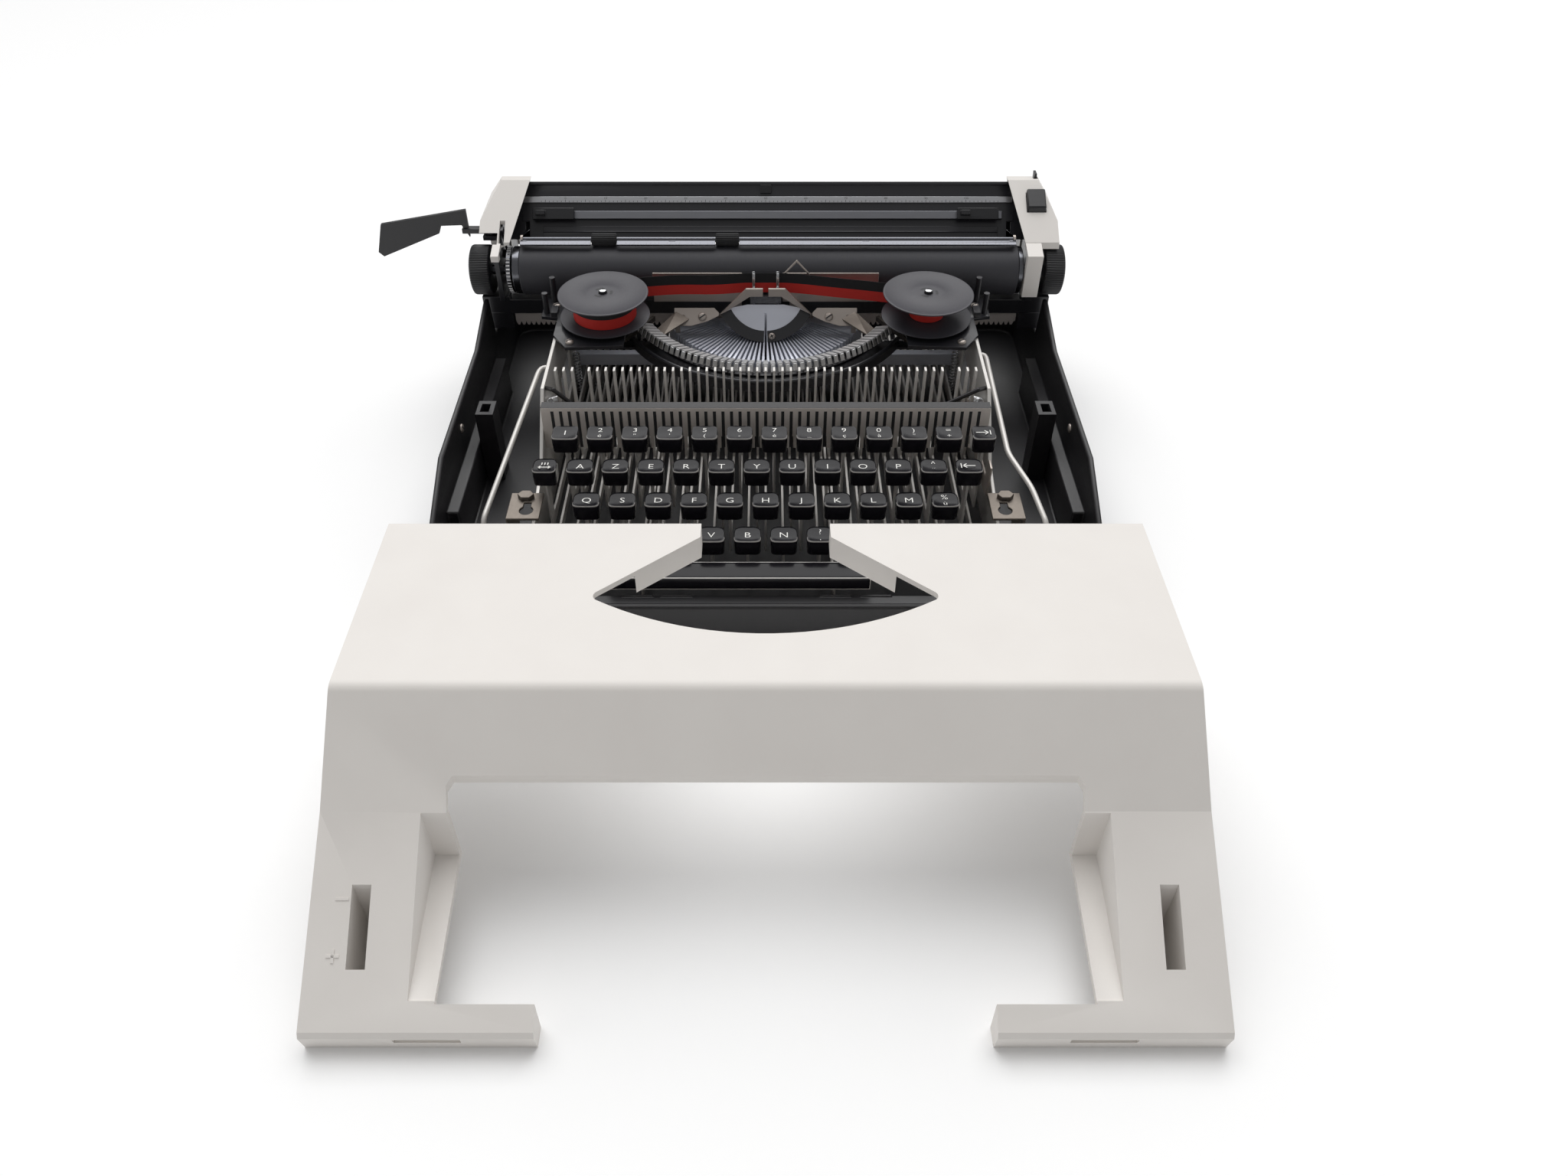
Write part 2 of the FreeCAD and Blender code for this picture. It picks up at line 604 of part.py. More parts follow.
def ribbon_vibrator():
    low = SEGMENT_TOP + SLIDE_GAP
    front = 188.6
    pieces = [box(-9, 9, front, 189.4, 66, 71)]
    for side in (-1, 1):
        x0, x1 = sorted((side * 6.6, side * 8.2))
        pieces.append(box(x0, x1, front, 189.4, low, 71))
        pieces.append(box(x0, x1, 189.0, RIBBON_Y - SLIDE_GAP, 66, 96))
        pieces.append(box(x0, x1, RIBBON_Y + RIBBON_THICK + SLIDE_GAP, 191.8, 66, 96))
        pieces.append(box(x0, x1, front, 191.8, 66, 71))
    return join(pieces)


# ---- carriage ----
def carriage_rail():
    beam = box(-FRAME_X - FRAME_THICK, FRAME_X + FRAME_THICK, 234, 252, RIM_CARRIAGE, RAIL_TOP)
    channel = box(-FRAME_X - 3, FRAME_X + 3, 238, 248, RIM_CARRIAGE + 4, RAIL_TOP - 5)
    spindle = cyl_z(32, RIM_CARRIAGE, -95, 243, 3)
    return join([beam.cut(channel), spindle])


def mainspring_drum():
    drum = cyl_z(34, 46, -95, 243, 20)
    return drum.cut(cyl_z(30, 50, -95, 243, 3 + SHAFT_GAP))


def carriage_base():
    front = box(-BASE_HALF, BASE_HALF, 204, 212, 60, 70)
    rear = box(-BASE_HALF, BASE_HALF, 230, 258, RAIL_TOP + SLIDE_GAP, BASE_TOP)
    end = box(163, BASE_END, 204, 232, 60, BASE_TOP)
    rear_end = box(163, BASE_HALF, 230, 258, RAIL_TOP + SLIDE_GAP, BASE_TOP)
    return join([front, rear, end, mirrored(end), rear_end, mirrored(rear_end)])


def carriage_rack():
    top = 60.0
    low = 51.0
    x = -162.0
    outline = [(-162.0, top), (-162.0, low + RACK_DEPTH)]
    while x + RACK_PITCH < 162:
        outline += [(x + 0.3 * RACK_PITCH, low), (x + 0.7 * RACK_PITCH, low),
                    (x + RACK_PITCH, low + RACK_DEPTH)]
        x += RACK_PITCH
    outline += [(162.0, low + RACK_DEPTH), (162.0, top)]
    return plate_xz(outline, RACK_Y, RACK_Y + 2.5)


def carriage_sides():
    foot = BASE_TOP + SLIDE_GAP
    outline = [(198, foot), (235.4, foot), (235.4, 104.8), (238.6, 104.8), (238.6, foot),
               (258, foot), (258, 108), (248, 122), (240, 118), (216, 107.5), (213, 104.2),
               (198, 103.9)]
    x1 = SIDE_X + SIDE_THICK
    plate = plate_yz(outline, SIDE_X, x1)
    for y, z, radius in ((PLATEN_Y, PLATEN_Z, SHAFT_RADIUS), (FEED_Y, FEED_Z, FEED_SHAFT)):
        plate = plate.cut(cyl_x(SIDE_X - 1, x1 + 1, y, z, radius + SHAFT_GAP))
    lug = box(SIDE_X + 1, -RETURN_X + 5, RETURN_Y - 5, RETURN_Y + 5, 103.7, 106.4)
    pin = cyl_z(106, 113.4, -RETURN_X, RETURN_Y, 1.5)
    left = mirrored(join([plate, lug, pin]))
    return group([left, plate])


def end_cover_block(inset, edges):
    """Right-hand end cover block, drawn in smaller by the wall for its hollow."""
    i = inset
    inner_top, inner_low, outer_top, outer_low = edges
    side = [(262 - i, 80 - 3 * i), (262 - i, 112 - 0.3 * i), (252 - 0.6 * i, 130 - 0.9 * i),
            (244 + 0.3 * i, 131 - i), (205.5 + 1.3 * i, 108.1 - 0.5 * i),
            (204.2 + 2 * i, 104.5 - 0.2 * i), (236 + i, 104.5 - 0.2 * i), (236 + i, 80 - 3 * i)]
    front = [(inner_top - 10 * i, 131 - i), (outer_top - 0.5 * i, 131 - i), (outer_low - i, 116),
             (outer_low - i, 80 - 3 * i), (LEG_INNER - 10 * i, 80 - 3 * i), (LEG_INNER - 10 * i, 105),
             (inner_low - 10 * i, 107)]
    return plate_yz(side, 120, 190).common(plate_xz(front, 190, 270))


def end_cover(edges, leg_low, leg_x0, leg_x1):
    shell = end_cover_block(0, edges).cut(end_cover_block(COVER_WALL, edges))
    leg = plate_yz([(193.5, leg_low), (197.6, leg_low), (197.6, 104.4), (206, 104.6), (208.4, 108.6),
                    (203, 107.2), (193.5, 104.8)], leg_x0, leg_x1)
    return join([shell, leg])


def end_cover_right():
    cover = end_cover((152.2, 160.8, 171.5, 181.4), 77.4, 160.6, 170.2)
    cover = cover.cut(box(168.7, 171.8, 246.5, 264, 108, 135))
    return cover.cut(box(BUTTON_LEFT - SLIDE_GAP, BUTTON_RIGHT + SLIDE_GAP, 223.8, 236.2, 110, 135))


def end_cover_left():
    cover = mirrored(end_cover((148.1, 158.6, 166.3, 177.4), 101.0, 163.7, 168.5))
    cover = cover.cut(box(-165.0, -161.7, 204.9, 218.8, 100, 125))
    return cover.cut(box(-190, -166, 204, 231, 103, 111.5))


def table_point(along, above):
    dy = TABLE_HEAD[0] - TABLE_FOOT[0]
    dz = TABLE_HEAD[1] - TABLE_FOOT[1]
    size = math.hypot(dy, dz)
    u = (dy / size, dz / size)
    return (TABLE_FOOT[0] + along * u[0] - above * u[1], TABLE_FOOT[1] + along * u[1] + above * u[0])


def on_table(s0, s1, h0, h1, x0, x1):
    """Strip lying on the sloping paper table, from s0 to s1 up it, h0 to h1 proud of it."""
    corners = [table_point(s0, h0), table_point(s1, h0), table_point(s1, h1), table_point(s0, h1)]
    return plate_yz(corners, x0, x1)


TABLE_LONG = math.hypot(TABLE_HEAD[0] - TABLE_FOOT[0], TABLE_HEAD[1] - TABLE_FOOT[1])
RAIL_S0 = 12.6              # margin rail, up the table
RAIL_S1 = 17.6
RAIL_HIGH = 2.0


def paper_table():
    plate = on_table(0, TABLE_LONG, -TABLE_THICK, 0, TABLE_LEFT, TABLE_RIGHT)
    roll = on_table(TABLE_LONG - 2, TABLE_LONG, -TABLE_THICK, 0.8, TABLE_LEFT, TABLE_RIGHT)
    tie = on_table(18, 24, -TABLE_THICK, 0, -SIDE_X, SIDE_X)
    inner = BAIL_ARM + 2 * SLIDE_GAP
    for x0, x1 in ((TABLE_LEFT - 1, BAIL_LEFT + inner), (BAIL_RIGHT - inner, TABLE_RIGHT + 1)):
        plate = plate.cut(on_table(-1, TABLE_NOTCH, -TABLE_THICK - 1, 1, x0, x1))
    return join([plate, roll, tie])


def erasing_plate():
    plate = on_table(1, 8.2, 0, 1.2, -141, 147)
    ridge = on_table(4.2, 4.8, 1.0, 1.7, -141, 147)
    return join([plate, ridge])


def paper_scale():
    return on_table(23.2, 27.0, 0, 0.8, TABLE_LEFT, TABLE_RIGHT - 1)


def margin_rail():
    return on_table(RAIL_S0, RAIL_S1, 0, RAIL_HIGH, -147.7, 149.7)


def margin_stop(x0, x1):
    low = RAIL_HIGH + SLIDE_GAP
    block = on_table(RAIL_S0 - 1, RAIL_S1 + 1, low, low + 2.6, x0, x1)
    grip = on_table(RAIL_S0 + 1, RAIL_S1 - 1, low + 2.4, low + 5, x0 + 2, x0 + 8)
    return join([block, grip])


def paper_pointer():
    tip = table_point(29, 0.3)
    corners = [tip, table_point(34.0, 0.3), table_point(34.0, 2.2), table_point(29, 1.2)]
    return plate_yz(corners, -3.5, 3.5)


def platen():
    return cyl_x(PLATEN_LEFT, PLATEN_RIGHT, PLATEN_Y, PLATEN_Z, PLATEN_RADIUS).cut(
        cyl_x(PLATEN_LEFT, PLATEN_RIGHT, PLATEN_Y, PLATEN_Z, PLATEN_RADIUS - 3))


def platen_core():
    y = PLATEN_Y
    z = PLATEN_Z
    core = cyl_x(PLATEN_LEFT, PLATEN_RIGHT, y, z, PLATEN_RADIUS - 3)
    left_hub = cyl_x(PLATEN_LEFT - 4.6, PLATEN_LEFT, y, z, PLATEN_RADIUS - 1)
    right_hub = cyl_x(PLATEN_RIGHT, PLATEN_RIGHT + 3.0, y, z, PLATEN_RADIUS - 1)
    shaft = cyl_x(KNOB_LEFT + 2, KNOB_RIGHT - 2, y, z, SHAFT_RADIUS)
    wheel = cyl_x(-161.4, -158.4, y, z, PLATEN_RADIUS - 1.3)
    return join([core, left_hub, right_hub, shaft, wheel])


def platen_knob(x0):
    knob = cyl_x(x0, x0 + KNOB_LONG, PLATEN_Y, PLATEN_Z, PLATEN_RADIUS)
    bore = cyl_x(KNOB_LEFT + 2, KNOB_RIGHT - 2, PLATEN_Y, PLATEN_Z, SHAFT_RADIUS)
    return knob.cut(bore)


def feed_rollers():
    shaft = cyl_x(-SIDE_X - 1, SIDE_X + 1, FEED_Y, FEED_Z, FEED_SHAFT)
    pieces = [shaft]
    for x in (-120, -45, 45, 120):
        pieces.append(cyl_x(x - 16, x + 16, FEED_Y, FEED_Z, FEED_RADIUS))
    return join(pieces)


def return_lever():
    hub = cyl_z(106.7, 113, RETURN_X, RETURN_Y, 3.2)
    arm = box(-190, RETURN_X, RETURN_Y - 2.5, RETURN_Y + 2.5, 107, 110)
    paddle = plate_xz([(-186, 122), (-186, 104), (-190, 112), (-203, 111.5), (-205, 106.5),
                       (-243, 91), (-246, 94), (-240.5, 112.5)], RETURN_Y - 1.2, RETURN_Y + 1.2)
    lever_body = join([hub, arm, paddle])
    return lever_body.cut(cyl_z(100, 120, RETURN_X, RETURN_Y, 1.5 + SHAFT_GAP))


def bail():
    left = BAIL_LEFT
    right = BAIL_RIGHT
    shaft = rod([(left, BAIL_Y, BAIL_Z), (right, BAIL_Y, BAIL_Z)], BAIL_RADIUS)
    y, z = BAIL_PIVOT
    outline = [(BAIL_Y - 2.2, BAIL_Z + 1), (BAIL_Y + 1, BAIL_Z + 2.4), (y + 2.5, z + 2),
               (y + 2.5, z - 2), (y - 2, z - 2.4), (BAIL_Y - 2, BAIL_Z - 2)]
    pieces = [shaft]
    for x0, end in ((left, -SIDE_X + SEAT_GAP), (right - BAIL_ARM, SIDE_X - SEAT_GAP)):
        pieces.append(plate_yz(outline, x0, x0 + BAIL_ARM))
        a, b = sorted((x0 + 0.5, end))
        pieces.append(cyl_x(a, b, y, z, 1.5))
    scale = plate_yz([(205.4, 105.8), (208.6, 106.8), (208.6, 107.8), (205.4, 106.8)], left, right)
    for x0, x1 in (ROLLER_LEFT, ROLLER_RIGHT):
        scale = scale.cut(box(x0 - SLIDE_GAP, x1 + SLIDE_GAP, 200, 212, 100, 112))
    for x in (left, -60, 60, right - 4):
        pieces.append(box(x, x + 4, 208, BAIL_Y, 106.8, 107.8))
    return join(pieces + [scale])


def bail_roller(x0, x1):
    roller = cyl_x(x0, x1, BAIL_Y, BAIL_Z, BAIL_ROLLER)
    return roller.cut(cyl_x(x0 - 1, x1 + 1, BAIL_Y, BAIL_Z, BAIL_RADIUS + SHAFT_GAP))


def paper_release():
    x0 = SIDE_X + SIDE_THICK + SEAT_GAP
    boss = cyl_x(x0, 171, 246, 97, 3)
    arm = plate_yz([(243, 98), (249, 98), (254, 133), (248.5, 133)], 169.5, 171)
    return join([boss, arm])


def release_button():
    return plate_yz([(224.2, 122.3), (235.8, 129.2), (235.8, 122.4), (224.2, 115.6)], BUTTON_LEFT,
                    BUTTON_RIGHT)


def line_space_selector():
    boss = cyl_x(-SIDE_X + SEAT_GAP, -162.6, 221, 93, 2.6)
    arm = plate_yz([(219, 95), (223.4, 94), (216, 113.4), (211, 113.4)], -164.1, -162.6)
    return join([boss, arm])


def ribbon_selector():
    outline = [(136, 38), (136, 46), (47, 49), (44.5, 62), (36.5, 62), (38, 42), (47, 40)]
    arm = plate_yz(outline, 120.7, 121.9)
    boss = cyl_x(121.5, FRAME_X - SEAT_GAP, 130, 42, 3)
    return join([arm, boss])


def link_rods():
    left = rod([(-FRAME_X - FRAME_THICK, 130, 66), (-134, 130, 66), (-152.5, 18.7, 40),
                (-152.5, 18.7, FLOOR)], 1.5)
    right = rod([(FRAME_X + FRAME_THICK, 146, 65), (133, 146, 65), (134, 57, 57), (143, 30, 54),
                 (148, 6, 48), (148, 6, FLOOR)], 1.5)
    left = left.common(box(-200, -FRAME_X - FRAME_THICK, 0, 300, FLOOR, 200))
    right = right.common(box(FRAME_X + FRAME_THICK, 200, 0, 300, FLOOR, 200))
    springs = []
    for x in (-122.5, 122.5):
        springs.append(box(x - 2.4, x + 2.4, 184, 188.8, FLOOR, 42))
    return group([left, right] + springs)


def screws():
    pieces = []
    for x in (-39.5, 39.5):
        pieces.append(on_shield(cyl_z(1.2, 2.6, x, 15.6, 2.6)))
    pieces.append(on_shield(cyl_z(0, 1.2, 3.6, 3.6, 1.9)))
    for side in (-1, 1):
        for x, y in ((116.0, 137.5), (129.2, 180.0)):
            pieces.append(cyl_z(DECK_Z + DECK_THICK, DECK_Z + DECK_THICK + 1.6, side * x, y, 2.4))
    return group(pieces)


# ---- top cover ----
def cover_block(inset):
    """Solid outer form of the cover, drawn in by the shell for its hollow."""
    i = inset
    low = -5.0 * i
    side = [(COVER_BACK + 2 * i, low), (COVER_BACK + 2 * i, COVER_RIDGE[1] - i),
            (COVER_RIDGE[0] + 0.45 * i, COVER_RIDGE[1] - i),
            (COVER_ROOT[0] + 0.8 * i, COVER_ROOT[1] - 0.6 * i),
            (COVER_NOSE[0] + 0.8 * i, COVER_NOSE[1] - 0.8 * i), (COVER_FRONT + i, COVER_NOSE[1] - 2.4),
            (COVER_FRONT + LIP_LEAN + i, low)]
    half = COVER_HALF - i
    top_half = COVER_TOP_HALF - 1.1 * i
    foot_half = COVER_FOOT_HALF - i
    front = [(-foot_half, low), (-half, COVER_ROOT[1]), (-top_half, COVER_RIDGE[1] - i),
             (top_half, COVER_RIDGE[1] - i), (half, COVER_ROOT[1]), (foot_half, low)]
    block = plate_yz(side, -200, 200).common(plate_xz(front, COVER_FRONT - 5, 0))
    ridge = [edge for edge in block.Edges if abs(edge.CenterOfMass.y - side[2][0]) < 0.01
             and abs(edge.CenterOfMass.z - side[2][1]) < 0.01]
    block = block.makeFillet(RIDGE_ROUND - i, ridge)
    pocket = plate_yz([(POCKET_END[0], POCKET_END[1] - i), (POCKET_BACK + i, POCKET_LOW - i),
                       (POCKET_BACK + i, COVER_RIDGE[1] - 20), (POCKET_END[0], COVER_RIDGE[1] - 20)],
                      -POCKET_X - i, POCKET_X + i)
    return block.cut(pocket)


def arc_between(a, middle, b):
    return Part.Arc(FreeCAD.Vector(*a), FreeCAD.Vector(*middle), FreeCAD.Vector(*b)).toShape()


def eye_opening(grow, z0, z1):
    """Opening over the type basket: a notch in the back edge that widens to an eye."""
    n = EYE_NOTCH_HALF + grow
    e = EYE_HALF + grow
    back = COVER_BACK + 10
    points = [(-e, -100), (-n, -61), (-n, back), (n, back), (n, -61), (e, -100)]
    edges = []
    for a, b in zip(points, points[1:]):
        edges.append(Part.makeLine(FreeCAD.Vector(a[0], a[1], z0), FreeCAD.Vector(b[0], b[1], z0)))
    edges.append(arc_between((e, -100, z0), (0, -122.3 - grow, z0), (-e, -100, z0)))
    eye = Part.Face(Part.Wire(edges)).extrude(FreeCAD.Vector(0, 0, z1 - z0))
    corners = [edge for edge in eye.Edges if abs(edge.CenterOfMass.y + 100) < 0.01
               and abs(edge.tangentAt(edge.FirstParameter).z) > 0.9]
    return eye.makeFillet(EYE_CORNER, corners)


def cover():
    shell = cover_block(0).cut(cover_block(SHELL))
    o = OPEN_HALF
    g = LIP_GAP_HALF
    c = OPEN_CORNER
    keyboard = plate_xy([(-o + c, OPEN_BACK), (-o, OPEN_BACK - c), (-o, LIP_BACK), (-g, LIP_BACK),
                         (-g, COVER_FRONT - 2), (g, COVER_FRONT - 2), (g, LIP_BACK), (o, LIP_BACK),
                         (o, OPEN_BACK - c), (o - c, OPEN_BACK)], -1, 120)
    under = plate_yz([(RIM_EDGE[0][0], -20)] + list(RIM_EDGE) + [(COVER_BACK + 9, RIM_EDGE[-1][1]),
                     (COVER_BACK + 9, -20)], RIM_X, 200)
    shell = shell.cut(keyboard).cut(under).cut(mirrored(under))
    end = cover_block(0).common(box(g, g + SHELL, COVER_FRONT, LIP_BACK, 0, COVER_NOSE[1] + 10))
    skirt = eye_opening(SHELL, COVER_RIDGE[1] - SKIRT_DEEP, COVER_RIDGE[1] - 1)
    skirt = skirt.cut(eye_opening(0, COVER_RIDGE[1] - 21, COVER_RIDGE[1]))
    skirt = skirt.common(box(-SKIRT_HALF, SKIRT_HALF, -92, COVER_BACK, 0, 100))
    shell = shell.cut(eye_opening(0, 80, 110)).fuse([skirt, end, mirrored(end)])
    wall = COVER_HALF - SHELL
    leg = box(LEG_X, LEG_X + SHELL, COVER_BACK - 24, COVER_BACK, 0, 60)
    bracket = box(LEG_X, wall + 1, COVER_BACK - 24, COVER_BACK, 54, 60)
    shell = shell.fuse([leg, bracket, mirrored(leg), mirrored(bracket)])
    arm_slot = box(SLOT_X[0], SLOT_X[1], SLOT_Y[0], SLOT_Y[1], 0, 60)
    lip_slot = box(117, 143, COVER_FRONT - 1, COVER_FRONT + 2.2, 5.9, 9.4)
    for piece in (arm_slot, lip_slot):
        shell = shell.cut(piece).cut(mirrored(piece))
    return shell.removeSplitter()


def build():
    nodes["base_pan"] = base_pan()
    nodes["rubber_feet"] = rubber_feet()
    nodes["side_frames"] = side_frames()
    nodes["mount_plates"] = mount_plates()
    nodes["key_comb"] = key_comb()
    nodes["cross_rods"] = cross_rods()
    nodes["front_apron"] = front_apron()
    nodes["link_rods"] = link_rods()
    nodes["screws"] = screws()
    for row in (1, 2, 3, 4):
        nodes["keys_row_%d" % row] = key_row(row)
    nodes["key_h"] = group(key(3, 0))
    nodes["margin_release_key"] = function_key(2, -118.75, 12.6, -118.75)
    nodes["backspace_key"] = function_key(2, 109.25, CAP_WIDE, 109.25)
    nodes["tab_key"] = function_key(1, 118.75, 12.6, 118.75)
    nodes["shift_key_left"] = function_key(4, -108.5, 24, -114)
    nodes["shift_key_right"] = function_key(4, 108.5, 24, 114)
    nodes["shift_lock_key"] = shift_lock()
    nodes["space_bar"] = space_bar()
    nodes["typebars"] = typebars()
    nodes["typebar_h"] = resting_bar()
    nodes["type_segment"] = type_segment()
    nodes["type_rest"] = type_rest()
    nodes["type_guide"] = type_guide()
    nodes["card_plates"] = card_plates()
    nodes["ribbon_deck"] = ribbon_deck()
    nodes["spool_left"] = spool(-SPOOL_X, ROLL_LEFT)
    nodes["spool_right"] = spool(SPOOL_X, ROLL_RIGHT)
    nodes["ribbon"] = ribbon()
    nodes["ribbon_vibrator"] = ribbon_vibrator()
    nodes["ribbon_selector"] = ribbon_selector()
    nodes["carriage_rail"] = carriage_rail()
    nodes["mainspring_drum"] = mainspring_drum()
    nodes["carriage_base"] = carriage_base()
    nodes["carriage_rack"] = carriage_rack()
    nodes["carriage_sides"] = carriage_sides()
    nodes["end_cover_left"] = end_cover_left()
    nodes["end_cover_right"] = end_cover_right()
    nodes["paper_table"] = paper_table()
    nodes["erasing_plate"] = erasing_plate()
    nodes["paper_scale"] = paper_scale()
    nodes["margin_rail"] = margin_rail()
    nodes["margin_stop_left"] = margin_stop(-147, -121)
    nodes["margin_stop_right"] = margin_stop(121, 147)
    nodes["paper_pointer"] = paper_pointer()
    nodes["platen"] = platen()
    nodes["platen_core"] = platen_core()
    nodes["platen_knob_left"] = platen_knob(KNOB_LEFT)
    nodes["platen_knob_right"] = platen_knob(KNOB_RIGHT - KNOB_LONG)
    nodes["feed_rollers"] = feed_rollers()
    nodes["return_lever"] = return_lever()
    nodes["paper_bail"] = bail()
    nodes["bail_roller_left"] = bail_roller(*ROLLER_LEFT)
    nodes["bail_roller_right"] = bail_roller(*ROLLER_RIGHT)
    nodes["paper_release"] = paper_release()
    nodes["release_button"] = release_button()
    nodes["line_space_selector"] = line_space_selector()
    nodes["cover"] = cover()


def write():
    """Move the footprint's middle to the origin and write one file per node."""
    whole = FreeCAD.BoundBox()
    for shape in nodes.values():
        whole.add(shape.BoundBox)
    shift = FreeCAD.Vector(-whole.Center.x, -whole.Center.y, 0)
    print("shift", shift, "box", whole)
    for name, shape in nodes.items():
        shape.translate(shift)
        shape.exportStep("parts/" + name + ".step")
        print(name, len(shape.Solids), shape.isValid(), round(shape.Volume, 1))


build()
write()
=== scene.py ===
import math

import bmesh
import bpy
import numpy as np
from mathutils import Euler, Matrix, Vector


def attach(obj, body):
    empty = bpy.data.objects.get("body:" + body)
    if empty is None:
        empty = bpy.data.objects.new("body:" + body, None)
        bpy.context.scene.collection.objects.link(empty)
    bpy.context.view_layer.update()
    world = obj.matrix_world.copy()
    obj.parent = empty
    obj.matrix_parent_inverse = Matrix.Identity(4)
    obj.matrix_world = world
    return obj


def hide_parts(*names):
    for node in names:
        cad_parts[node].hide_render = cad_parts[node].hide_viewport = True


bl_info = {
    "name": "Portable typewriter",
    "version": (1, 0, 0),
    "blender": (4, 5, 0),
    "location": "View3D > Sidebar > Typewriter",
    "description": "Builds a flat portable typewriter around its CAD model",
    "category": "Object",
}

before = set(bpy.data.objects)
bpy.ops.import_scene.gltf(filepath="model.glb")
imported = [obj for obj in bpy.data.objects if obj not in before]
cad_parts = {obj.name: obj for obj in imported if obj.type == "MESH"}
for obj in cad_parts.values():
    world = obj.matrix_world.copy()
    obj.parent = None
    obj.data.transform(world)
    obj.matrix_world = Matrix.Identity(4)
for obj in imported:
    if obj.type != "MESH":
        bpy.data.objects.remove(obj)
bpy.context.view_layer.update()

# Sizes are in millimetres on the machine's own axes: x = 0 is the middle of the keyboard,
# y = 0 the bottom row of letter keys, z = 0 the table. SHIFT moves them into the frame.
SHIFT = np.array([29.25, -8.0, 0.0])
MM = 0.001

KEY_PITCH = 19.0
ROW_RISE = 8.0
CAP_CORE_TOP = 46.0
STAGGER = {1: 4.75, 2: -4.75, 3: 0.0, 4: 9.5}
FIRST_KEY = {1: -6, 2: -5, 3: -5, 4: -5}
LEGENDS = {
    1: ["1", "2", "3", "4", "5", "6", "7", "8", "9", "0", ")", "="],
    2: ["A", "Z", "E", "R", "T", "Y", "U", "I", "O", "P", "^"],
    3: ["Q", "S", "D", "F", "G", "H", "J", "K", "L", "M", "%"],
    4: ["W", "X", "C", "V", "B", "N", "?", ".", "/", "!"],
}
SMALL_LEGENDS = {
    1: ["", "é", '"', "'", "(", "-", "è", "_", "ç", "à", "°", "+"],
    2: [""] * 10 + ["¨"],
    3: [""] * 10 + ["ù"],
    4: [""] * 6 + [",", ";", ":", "§"],
}


# ---- meshes ----
def made(name, verts, faces, body, smooth=True):
    """One closed mesh from millimetre points, placed in the frame and riding on a body."""
    mesh = bpy.data.meshes.new(name)
    points = (np.asarray(verts, float) + SHIFT) * MM
    mesh.from_pydata(points.tolist(), [], [list(f) for f in faces])
    mesh.validate()
    work = bmesh.new()
    work.from_mesh(mesh)
    bmesh.ops.remove_doubles(work, verts=work.verts, dist=2e-6)
    bmesh.ops.recalc_face_normals(work, faces=work.faces)
    work.to_mesh(mesh)
    work.free()
    if smooth:
        mesh.shade_smooth()
    piece = bpy.data.objects.new(name, mesh)
    bpy.context.scene.collection.objects.link(piece)
    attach(piece, body)
    return piece


def grid_faces(rows, columns, close_rows=False, close_columns=False, offset=0):
    """Quads of a rows x columns grid of points, as one array."""
    r = np.arange(rows if close_rows else rows - 1)
    c = np.arange(columns if close_columns else columns - 1)
    i, j = np.meshgrid(r, c, indexing="ij")
    i2 = (i + 1) % rows
    j2 = (j + 1) % columns
    quads = np.stack([i * columns + j, i * columns + j2, i2 * columns + j2, i2 * columns + j], -1)
    return quads.reshape(-1, 4) + offset


class Pile:
    """Points and faces of many like shapes, gathered into one mesh."""

    def __init__(self):
        self.points = []
        self.faces = []
        self.count = 0

    def add(self, points, faces):
        points = np.asarray(points, float).reshape(-1, 3)
        self.points.append(points)
        self.faces.extend((np.asarray(f) + self.count).tolist() for f in faces)
        self.count += len(points)

    def piece(self, name, body, smooth=True):
        return made(name, np.concatenate(self.points), self.faces, body, smooth)


def lathe(profile, count, ripple=0.0, ribs=0):
    """Radius r and height h turned about z: (r cos a, r sin a, h), with a ripple of the
    radius, r + ripple * cos(ribs a), where the profile's third value is 1."""
    profile = np.asarray(profile, float)
    a = np.linspace(0, 2 * math.pi, count, endpoint=False)
    wave = ripple * np.cos(ribs * a)[None, :] * profile[:, 2][:, None]
    r = profile[:, 0][:, None] + wave
    h = np.repeat(profile[:, 1][:, None], count, 1)
    points = np.stack([r * np.cos(a), r * np.sin(a), h], -1).reshape(-1, 3)
    return points, grid_faces(len(profile), count, close_columns=True)


def along_x(points, x, y, z, sign=1.0):
    """A lathe's points laid along X: its height runs from x in the direction of sign."""
    p = np.asarray(points)
    return np.stack([x + sign * p[:, 2], y + p[:, 0], z + p[:, 1]], -1)


def tube(path, radius, sides=12):
    """Circle of the given radius carried along a path: point + radius (cos a n + sin a b),
    with n and b square to the path; both ends are drawn in to a point."""
    path = np.asarray(path, float)
    step = np.gradient(path, axis=0)
    step /= np.linalg.norm(step, axis=1)[:, None]
    guide = np.array([0.0, 0.0, 1.0]) + 1e-3 * np.array([1.0, 2.0, 0.0])
    n = np.cross(step, guide)
    n /= np.linalg.norm(n, axis=1)[:, None]
    b = np.cross(step, n)
    a = np.linspace(0, 2 * math.pi, sides, endpoint=False)
    ring = np.cos(a)[None, :, None] * n[:, None, :] + np.sin(a)[None, :, None] * b[:, None, :]
    width = np.full(len(path), radius)
    points = path[:, None, :] + ring * width[:, None, None]
    ends = np.repeat(path[[0, -1]][:, None, :], sides, 1)
    points = np.concatenate([ends[:1], points, ends[1:]], 0)
    return points.reshape(-1, 3), grid_faces(len(path) + 2, sides, close_columns=True)


